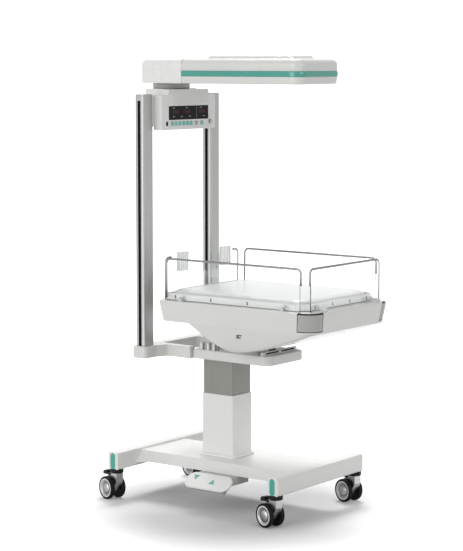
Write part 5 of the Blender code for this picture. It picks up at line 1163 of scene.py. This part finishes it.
# %% [markdown]
# ## Cover over the pivot
# The back of the head is a cover of its own with round back corners and a fine groove round it.
# It is the same stack of outlines, closed at the bottom and over the top.

# %% The rear cover
COVER_CORNER = 0.034
COVER_ROUND = 0.006
COVER_FOOT = 0.008
GROOVE_RISE = 0.004
GROOVE_ROWS = ((0.0, -0.0010), (0.0009, -0.0004), (0.0009, 0.0004), (0.0, 0.0010))
cover_low, cover_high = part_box("head_rear_cover")
HALF_COVER = (cover_high.x - cover_low.x) / 2
groove_z = (cover_low.z + cover_high.z) / 2 + GROOVE_RISE


def cover_outline(inset, seam):
    """The cover's plan, drawn in by an inset at the back and sides and by a seam at the front."""
    reach = min(inset, HALF_COVER)
    back = min(max(COVER_CORNER - 0.6 * inset, COVER_ROUND), HALF_COVER - reach)
    front = min(SEAM_CORNER, HALF_COVER - reach)
    depth = cover_high.y - cover_low.y - seam
    low = (cover_low.x + reach, cover_low.y + seam)
    high = (cover_high.x - reach, cover_high.y - min(inset, depth - 0.002))
    return rounded_outline(low, high, (front, front, back, back))


rows = [(HALF_COVER, cover_low.z), (COVER_FOOT, cover_low.z)]
rows += [(COVER_ROUND * (1 - si), cover_low.z + COVER_ROUND * (1 - ci)) for si, ci in quarter(7)]
rows += [(inset, groove_z + rise) for inset, rise in GROOVE_ROWS]
rows += crown_rows(HALF_COVER, np.linspace(0.1, 1.0, 8))
cover_grid = stack([cover_outline(inset, min(inset, SEAM_DRAFT)) for inset, _ in rows], [z for _, z in rows])
cover = surface("rear_cover", cover_grid, close_v=True)
clothe(cover, bright_shell)
cover.data.set_sharp_from_angle(angle=ROUND_ANGLE)
takes_place_of(cover, "head_rear_cover")
print("rear cover", len(cover.data.polygons), "faces")

# %% The swivel disc
DISC_ROUND = 0.006
DISC_EDGE = (0.0008, 0.0012)
low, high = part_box("swivel_disc")
height, radius = high.z - low.z, (high.x - low.x) / 2
flat = radius - DISC_ROUND
disc_rows = [(0.0, 0.0), (flat, 0.0)]
disc_rows += [(flat + DISC_ROUND * si, DISC_ROUND - DISC_ROUND * ci) for si, ci in quarter(7)]
disc_rows += [(radius, height - DISC_EDGE[1]), (radius - DISC_EDGE[0], height), (0.0, height)]
disc_foot = ((low.x + high.x) / 2, (low.y + high.y) / 2, low.z)
disc = turned_surface("swivel_ring", disc_rows, disc_foot, (0, 0, 1), 128)
clothe(disc, grey_shell)
disc.data.set_sharp_from_angle(angle=ROUND_ANGLE)
takes_place_of(disc, "swivel_disc")
print("disc", round(2 * radius, 3), "m across")

# %% Dress the heater
rounded_copy("heater_reflector", 0.0, mirror)
rounded_copy("heater_element", 0.0008, ceramic)
rounded_copy("heater_guard", 0.0, silver)
print("head dressed")

# %% [markdown]
# ## Bed
# The bed's hull is a tapered moulding with a rolled rim, and its round front corners are grey
# mouldings of their own, let in at a joint whose faces are painted black as painted shade. Those
# solids have the right shape already. The belly under it is a softer form, so it is worked out
# again with finer rows.

# %% Dress the hull, the corners and the tray
JOINT_REACH = (0.001, 0.001, 0.004)
NOTCH_DEPTHS = (0.0004, 0.0022)
NOTCH_MARGIN = 0.0055
hull = rounded_copy("bed_hull", 0.0012, (white_shell, recess_shade_black), 3)
for node in ("corner_insert_left", "corner_insert_right"):
    rounded_copy(node, 0.0012, insert_grey, 3)
    low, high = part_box(node)
    middle = np.array((low + high) / 2)
    reach = np.array((high - low) / 2) + JOINT_REACH
    # The hull's faces round each corner moulding are painted black: painted shade in the joint.
    paint_faces(hull, lambda c: (np.abs(c - middle) < reach).all(axis=1), 1)
low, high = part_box("mattress_tray")
tray = rounded_copy("mattress_tray", 0.0010, (pale_tray, recess_shade_black))
tree = pale_tray.node_tree
# Painted shade: a thin dark line along the tray's foot, where it sits on the hull's rim.
foot_shade_mask = within(tree, "Z", low.z - 0.001, low.z + 0.0022, 0.0006)
painted_foot_shade = mixed(tree, foot_shade_mask, tree.nodes["drift"].outputs["Colour"], (0.05, 0.05, 0.05))
tree.links.new(painted_foot_shade, principled(pale_tray).inputs["Base Color"])


def in_notch(c):
    """Faces inside the clip slots: just in from the tray's outer walls, at the slots' height."""
    reach = np.minimum(np.minimum(c[:, 0] - low.x, high.x - c[:, 0]), c[:, 1] - low.y)
    level = (c[:, 2] > low.z + NOTCH_MARGIN) & (c[:, 2] < high.z - NOTCH_MARGIN)
    return (reach > NOTCH_DEPTHS[0]) & (reach < NOTCH_DEPTHS[1]) & level


# The clip slots' faces are painted black: painted shade inside the slots.
paint_faces(tray, in_notch, 1)
print("hull", len(hull.data.polygons), "faces, tray", len(tray.data.polygons))

# %% The belly
# The drawing's own zero lies DRAWING_SHIFT behind the middle of the finished machine.
DRAWING_SHIFT = 0.0438846
TILT_AXIS_Y = -0.165 + DRAWING_SHIFT
CREASE_HALF, FLAT_HALF = 0.276, 0.230
BELLY_FLAT = 0.030
BELLY_CORNER = 0.027
BELLY_CURVE = 1.35
belly_low, belly_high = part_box("bed_belly")
bed_x = (belly_low.x + belly_high.x) / 2


def belly_outline(share):
    """Each side's place goes evenly from the crease, at a share of 0, to the flat, at a share of 1."""
    half = CREASE_HALF + (FLAT_HALF - CREASE_HALF) * share
    front = belly_low.y + (TILT_AXIS_Y - BELLY_FLAT - belly_low.y) * share
    back = belly_high.y + (TILT_AXIS_Y + BELLY_FLAT - belly_high.y) * share
    return rounded_outline((bed_x - half, front), (bed_x + half, back), [BELLY_CORNER] * 4)


# The depth below the crease is the whole depth times 1 - (1 - share)^BELLY_CURVE.
shares = np.concatenate([np.linspace(0.0, 0.9, 24), [0.94, 0.97, 0.985, 1.0]])
levels = belly_high.z - (belly_high.z - belly_low.z) * (1 - (1 - shares) ** BELLY_CURVE)
outlines = [belly_outline(share) for share in shares]
outlines = [drawn_in(outlines[0], 0.0), *outlines, drawn_in(outlines[-1], 0.0)]
belly = surface("belly", stack(outlines, [belly_high.z, *levels, belly_low.z]), close_v=True)
print("belly", len(outlines), "outlines")


# %% Cut the belly's well and socket
WELL_HALF_X, WELL_HALF_Y, WELL_UP_TO = 0.030, 0.062, 0.9
SOCKET_RADIUS = 0.006
SOCKET_DEPTHS = (-0.30, -0.2624)
SOCKET_BEYOND = 0.24
SOCKET_PLACE = (0.0, -0.211 + DRAWING_SHIFT, belly_low.z + 0.075)


def box_tool(name, low, high):
    """A closed box to cut with."""
    plan = np.array([[low[0], low[1]], [high[0], low[1]], [high[0], high[1]], [low[0], high[1]]])
    return surface(name, stack([plan, plan], [low[2], high[2]]), close_v=True, cap_start=True, cap_end=True)


def in_socket(c):
    """Faces of the round hole in the belly's left side."""
    from_axis = np.hypot(c[:, 1] - SOCKET_PLACE[1], c[:, 2] - SOCKET_PLACE[2])
    return (c[:, 0] < bed_x - SOCKET_BEYOND) & (from_axis < SOCKET_RADIUS - 0.0001)


well = box_tool("belly_well", (bed_x - WELL_HALF_X, TILT_AXIS_Y - WELL_HALF_Y, belly_low.z - 0.01),
                (bed_x + WELL_HALF_X, TILT_AXIS_Y + WELL_HALF_Y, WELL_UP_TO))
outside, bottom = SOCKET_DEPTHS
socket_rows = [(0, outside), (SOCKET_RADIUS, outside), (SOCKET_RADIUS, bottom), (0, bottom)]
socket = turned_surface("socket_hole", socket_rows, SOCKET_PLACE, (1, 0, 0), 32)
carve(belly, well, socket)
clothe(belly, white_shell, recess_shade_black)
# The hole's faces are painted black: painted shade inside the socket.
paint_faces(belly, in_socket, 1)
takes_place_of(belly, "bed_belly")
print("belly", len(belly.data.polygons), "faces")

# %% [markdown]
# ## Guards
# Each guard is a chromed rod, bent down at its ends, over a clear pane that hangs on two hinge
# clamps. The rods are tubes carried along straight runs and arcs. The panes keep their solids,
# with the acrylic on the flat faces and a cloudy moulding on the clamps and the tube holders.

# %% Bend the rods
ROD = 0.0040
ROD_BEND = 0.020
SHORT_END = 0.066
SLEEVE = 0.012
for name in ("left", "right", "front"):
    low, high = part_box(f"guard_rail_{name}")
    z = high.z - ROD
    short_z = z - SHORT_END
    if name == "front":
        y = (low.y + high.y) / 2
        ends = [(low.x + ROD, y), (high.x - ROD, y)]
    else:
        x = (low.x + high.x) / 2
        ends = [(x, low.y + ROD), (x, high.y - ROD)]
    short, long = ends
    corners = [(*short, short_z), (*short, z), (*long, z), (*long, low.z)]
    rod = tube(f"guard_rod_{name}", bent_path(corners, ROD_BEND), ROD)
    clothe(rod, chrome, black_satin)
    near_end = 2.5 * ROD
    paint_faces(rod, lambda c: (c[:, 2] < short_z + SLEEVE) & (np.hypot(*(c[:, :2] - short).T) < near_end), 1)
    takes_place_of(rod, f"guard_rail_{name}")
for name, side in (("back_left", -1), ("back_right", 1)):
    low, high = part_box(f"guard_rail_{name}")
    y, z = (low.y + high.y) / 2, high.z - ROD
    post, tip = (low.x + ROD, high.x) if side < 0 else (high.x - ROD, low.x)
    rod = tube(f"guard_rod_{name}", bent_path([(post, y, low.z), (post, y, z), (tip, y, z)], ROD_BEND), ROD)
    clothe(rod, chrome)
    takes_place_of(rod, f"guard_rail_{name}")
print("rods", round(2000 * ROD, 1), "mm thick")

# %% Dress the panes
PANE_SKIN = 0.0041
# For each pane: the axis across it, and whether its clamps lie beyond the pane towards + or -.
for name, axis, side in (("left", 0, -1), ("right", 0, 1), ("front", 1, -1), ("back", 1, -1)):
    node = f"guard_pane_{name}"
    low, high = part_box(node)
    pane = rounded_copy(node, 0.0005, (acrylic, cloudy_clip))
    edge = high[axis] - PANE_SKIN if side < 0 else low[axis] + PANE_SKIN
    paint_faces(pane, lambda c: (c[:, axis] - edge) * side > 0, 1)
print("guards dressed")

# %% [markdown]
# ## Mattress
# The mattress is foam in a welded vinyl cover, piped along its upper and lower edges. Cloth
# under a little pressure gives its soft crown and its sides, which draw in between the pipings:
# a smaller copy of the solid is remeshed evenly, blown up for twenty frames, and no point may
# move further than a cap. Its bottom stays flat on the tray. The pipings are laid on afterwards.

# %% The cover's finish
RIPPLE_SCALE = 14.0
vinyl = finish("mattress_vinyl", (0.70, 0.70, 0.695), 0.36, tone=0.04, bump=0.10, grain=700.0, coat=0.1)
piping_white = finish("piping_vinyl", (0.48, 0.48, 0.47), 0.40, bump=0.10)
tree = vinyl.node_tree
ripple = tree.nodes.new("ShaderNodeBump")
ripple.inputs["Distance"].default_value = 0.004
ripple.inputs["Strength"].default_value = 0.25
tree.links.new(noise(tree, own_place(tree), RIPPLE_SCALE, 3.0), ripple.inputs["Height"])
tree.links.new(ripple.outputs["Normal"], tree.nodes["relief"].inputs["Normal"])
print(len(bpy.data.materials), "finishes in all")

# %% Take an even copy of the pad
pad_low, pad_high = (np.array(corner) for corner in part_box("mattress"))


def points_of(mesh):
    """The places of a mesh's points, as an array of shape (points, 3)."""
    points = np.empty(len(mesh.vertices) * 3)
    mesh.vertices.foreach_get("co", points)
    return points.reshape(-1, 3)


def even_copy(node, shrink, voxel):
    """A smaller copy of a solid about its middle, remeshed into even faces."""
    mesh = NODES[node].data.copy()
    middle = (pad_low + pad_high) / 2
    mesh.vertices.foreach_set("co", ((points_of(mesh) - middle) * shrink + middle).ravel())
    mesh.name = f"{node}_cover"
    mesh.materials.clear()
    piece = placed(mesh.name, mesh)
    merge = bmesh.new()
    merge.from_mesh(mesh)
    bmesh.ops.remove_doubles(merge, verts=merge.verts, dist=MERGE_WITHIN)
    merge.to_mesh(mesh)
    merge.free()
    step = piece.modifiers.new("even", "REMESH")
    step.mode = "VOXEL"
    step.voxel_size = voxel
    bake(piece)
    return piece


# %% Blow up the cover
SWELL_CAP = 0.007
PRESSURE = 4.0
LAST_FRAME = 20
COVER_FACE = 0.006
size = pad_high - pad_low
room = SWELL_CAP
pad = even_copy("mattress", (size - 2 * room) / size, COVER_FACE)
still = points_of(pad.data)
cloth = pad.modifiers.new("cover", "CLOTH")
cloth.settings.use_pressure = True
cloth.settings.uniform_pressure_force = PRESSURE
cloth.settings.effector_weights.gravity = 0.0
cloth.point_cache.frame_start, cloth.point_cache.frame_end = 1, LAST_FRAME
for frame_number in range(1, LAST_FRAME + 1):
    bpy.context.scene.frame_set(frame_number)
bake(pad)
bpy.context.scene.frame_set(1)
moved = points_of(pad.data) - still
reach = np.linalg.norm(moved, axis=1)[:, None]
swollen = still + moved * np.minimum(1.0, SWELL_CAP / np.maximum(reach, 1e-9))
swollen = np.clip(swollen, pad_low, pad_high)
pad.data.vertices.foreach_set("co", swollen.ravel())
pad.data.update()
pad.data.shade_smooth()
finer = pad.modifiers.new("finer", "SUBSURF")
finer.levels = finer.render_levels = 1
clothe(pad, vinyl)
takes_place_of(pad, "mattress")
print("mattress", len(still), "points, pushed by up to", round(float(reach.max()) * 1000, 1), "mm before the cap")

# %% Lay the pipings
PIPING_RADIUS, PIPING_PROUD = 0.0018, 0.0008
PIPING_SHARES = (("piping_top", 0.86), ("piping_bottom", 0.12))
PLAN_INSET, PLAN_CORNER = 0.03, 0.02
UPRIGHT = np.array([0.0, 0.0, 1.0])
pad_faces = [tuple(face.vertices) for face in pad.data.polygons]
tree_of_pad = BVHTree.FromPolygons(swollen.tolist(), pad_faces)


def piping_path(level):
    """Points on the cover at a height: rays from inside outwards, square to a rounded rectangle."""
    plan = rounded_outline(pad_low[:2] + PLAN_INSET, pad_high[:2] - PLAN_INSET, [PLAN_CORNER] * 4, side=40)
    across = np.roll(plan, -1, axis=0) - np.roll(plan, 1, axis=0)
    outward = np.stack([across[:, 1], -across[:, 0]], axis=-1)
    outward /= np.linalg.norm(outward, axis=1)[:, None]
    found = [tree_of_pad.ray_cast(Vector((*start, level)), Vector((*way, 0.0)), 0.1)[0]
             for start, way in zip(plan, outward)]
    return np.array([point for point in found if point is not None])


for name, share in PIPING_SHARES:
    path = piping_path(pad_low[2] + share * size[2])
    path = (np.roll(path, 1, axis=0) + path + np.roll(path, -1, axis=0)) / 3
    along = np.roll(path, -1, axis=0) - np.roll(path, 1, axis=0)
    across = np.cross(along, UPRIGHT)
    across /= np.linalg.norm(across, axis=1)[:, None]
    ring = ring_shape(across, np.tile(UPRIGHT, (len(path), 1)), 12)
    rows = (path + PIPING_PROUD * across)[:, None] + PIPING_RADIUS * ring
    piping = surface(name, rows, close_u=True, close_v=True)
    clothe(piping, piping_white)
    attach(piping, body_of(NODES["mattress"])[0])
print("pipings laid")

# %% Finish
low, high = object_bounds()
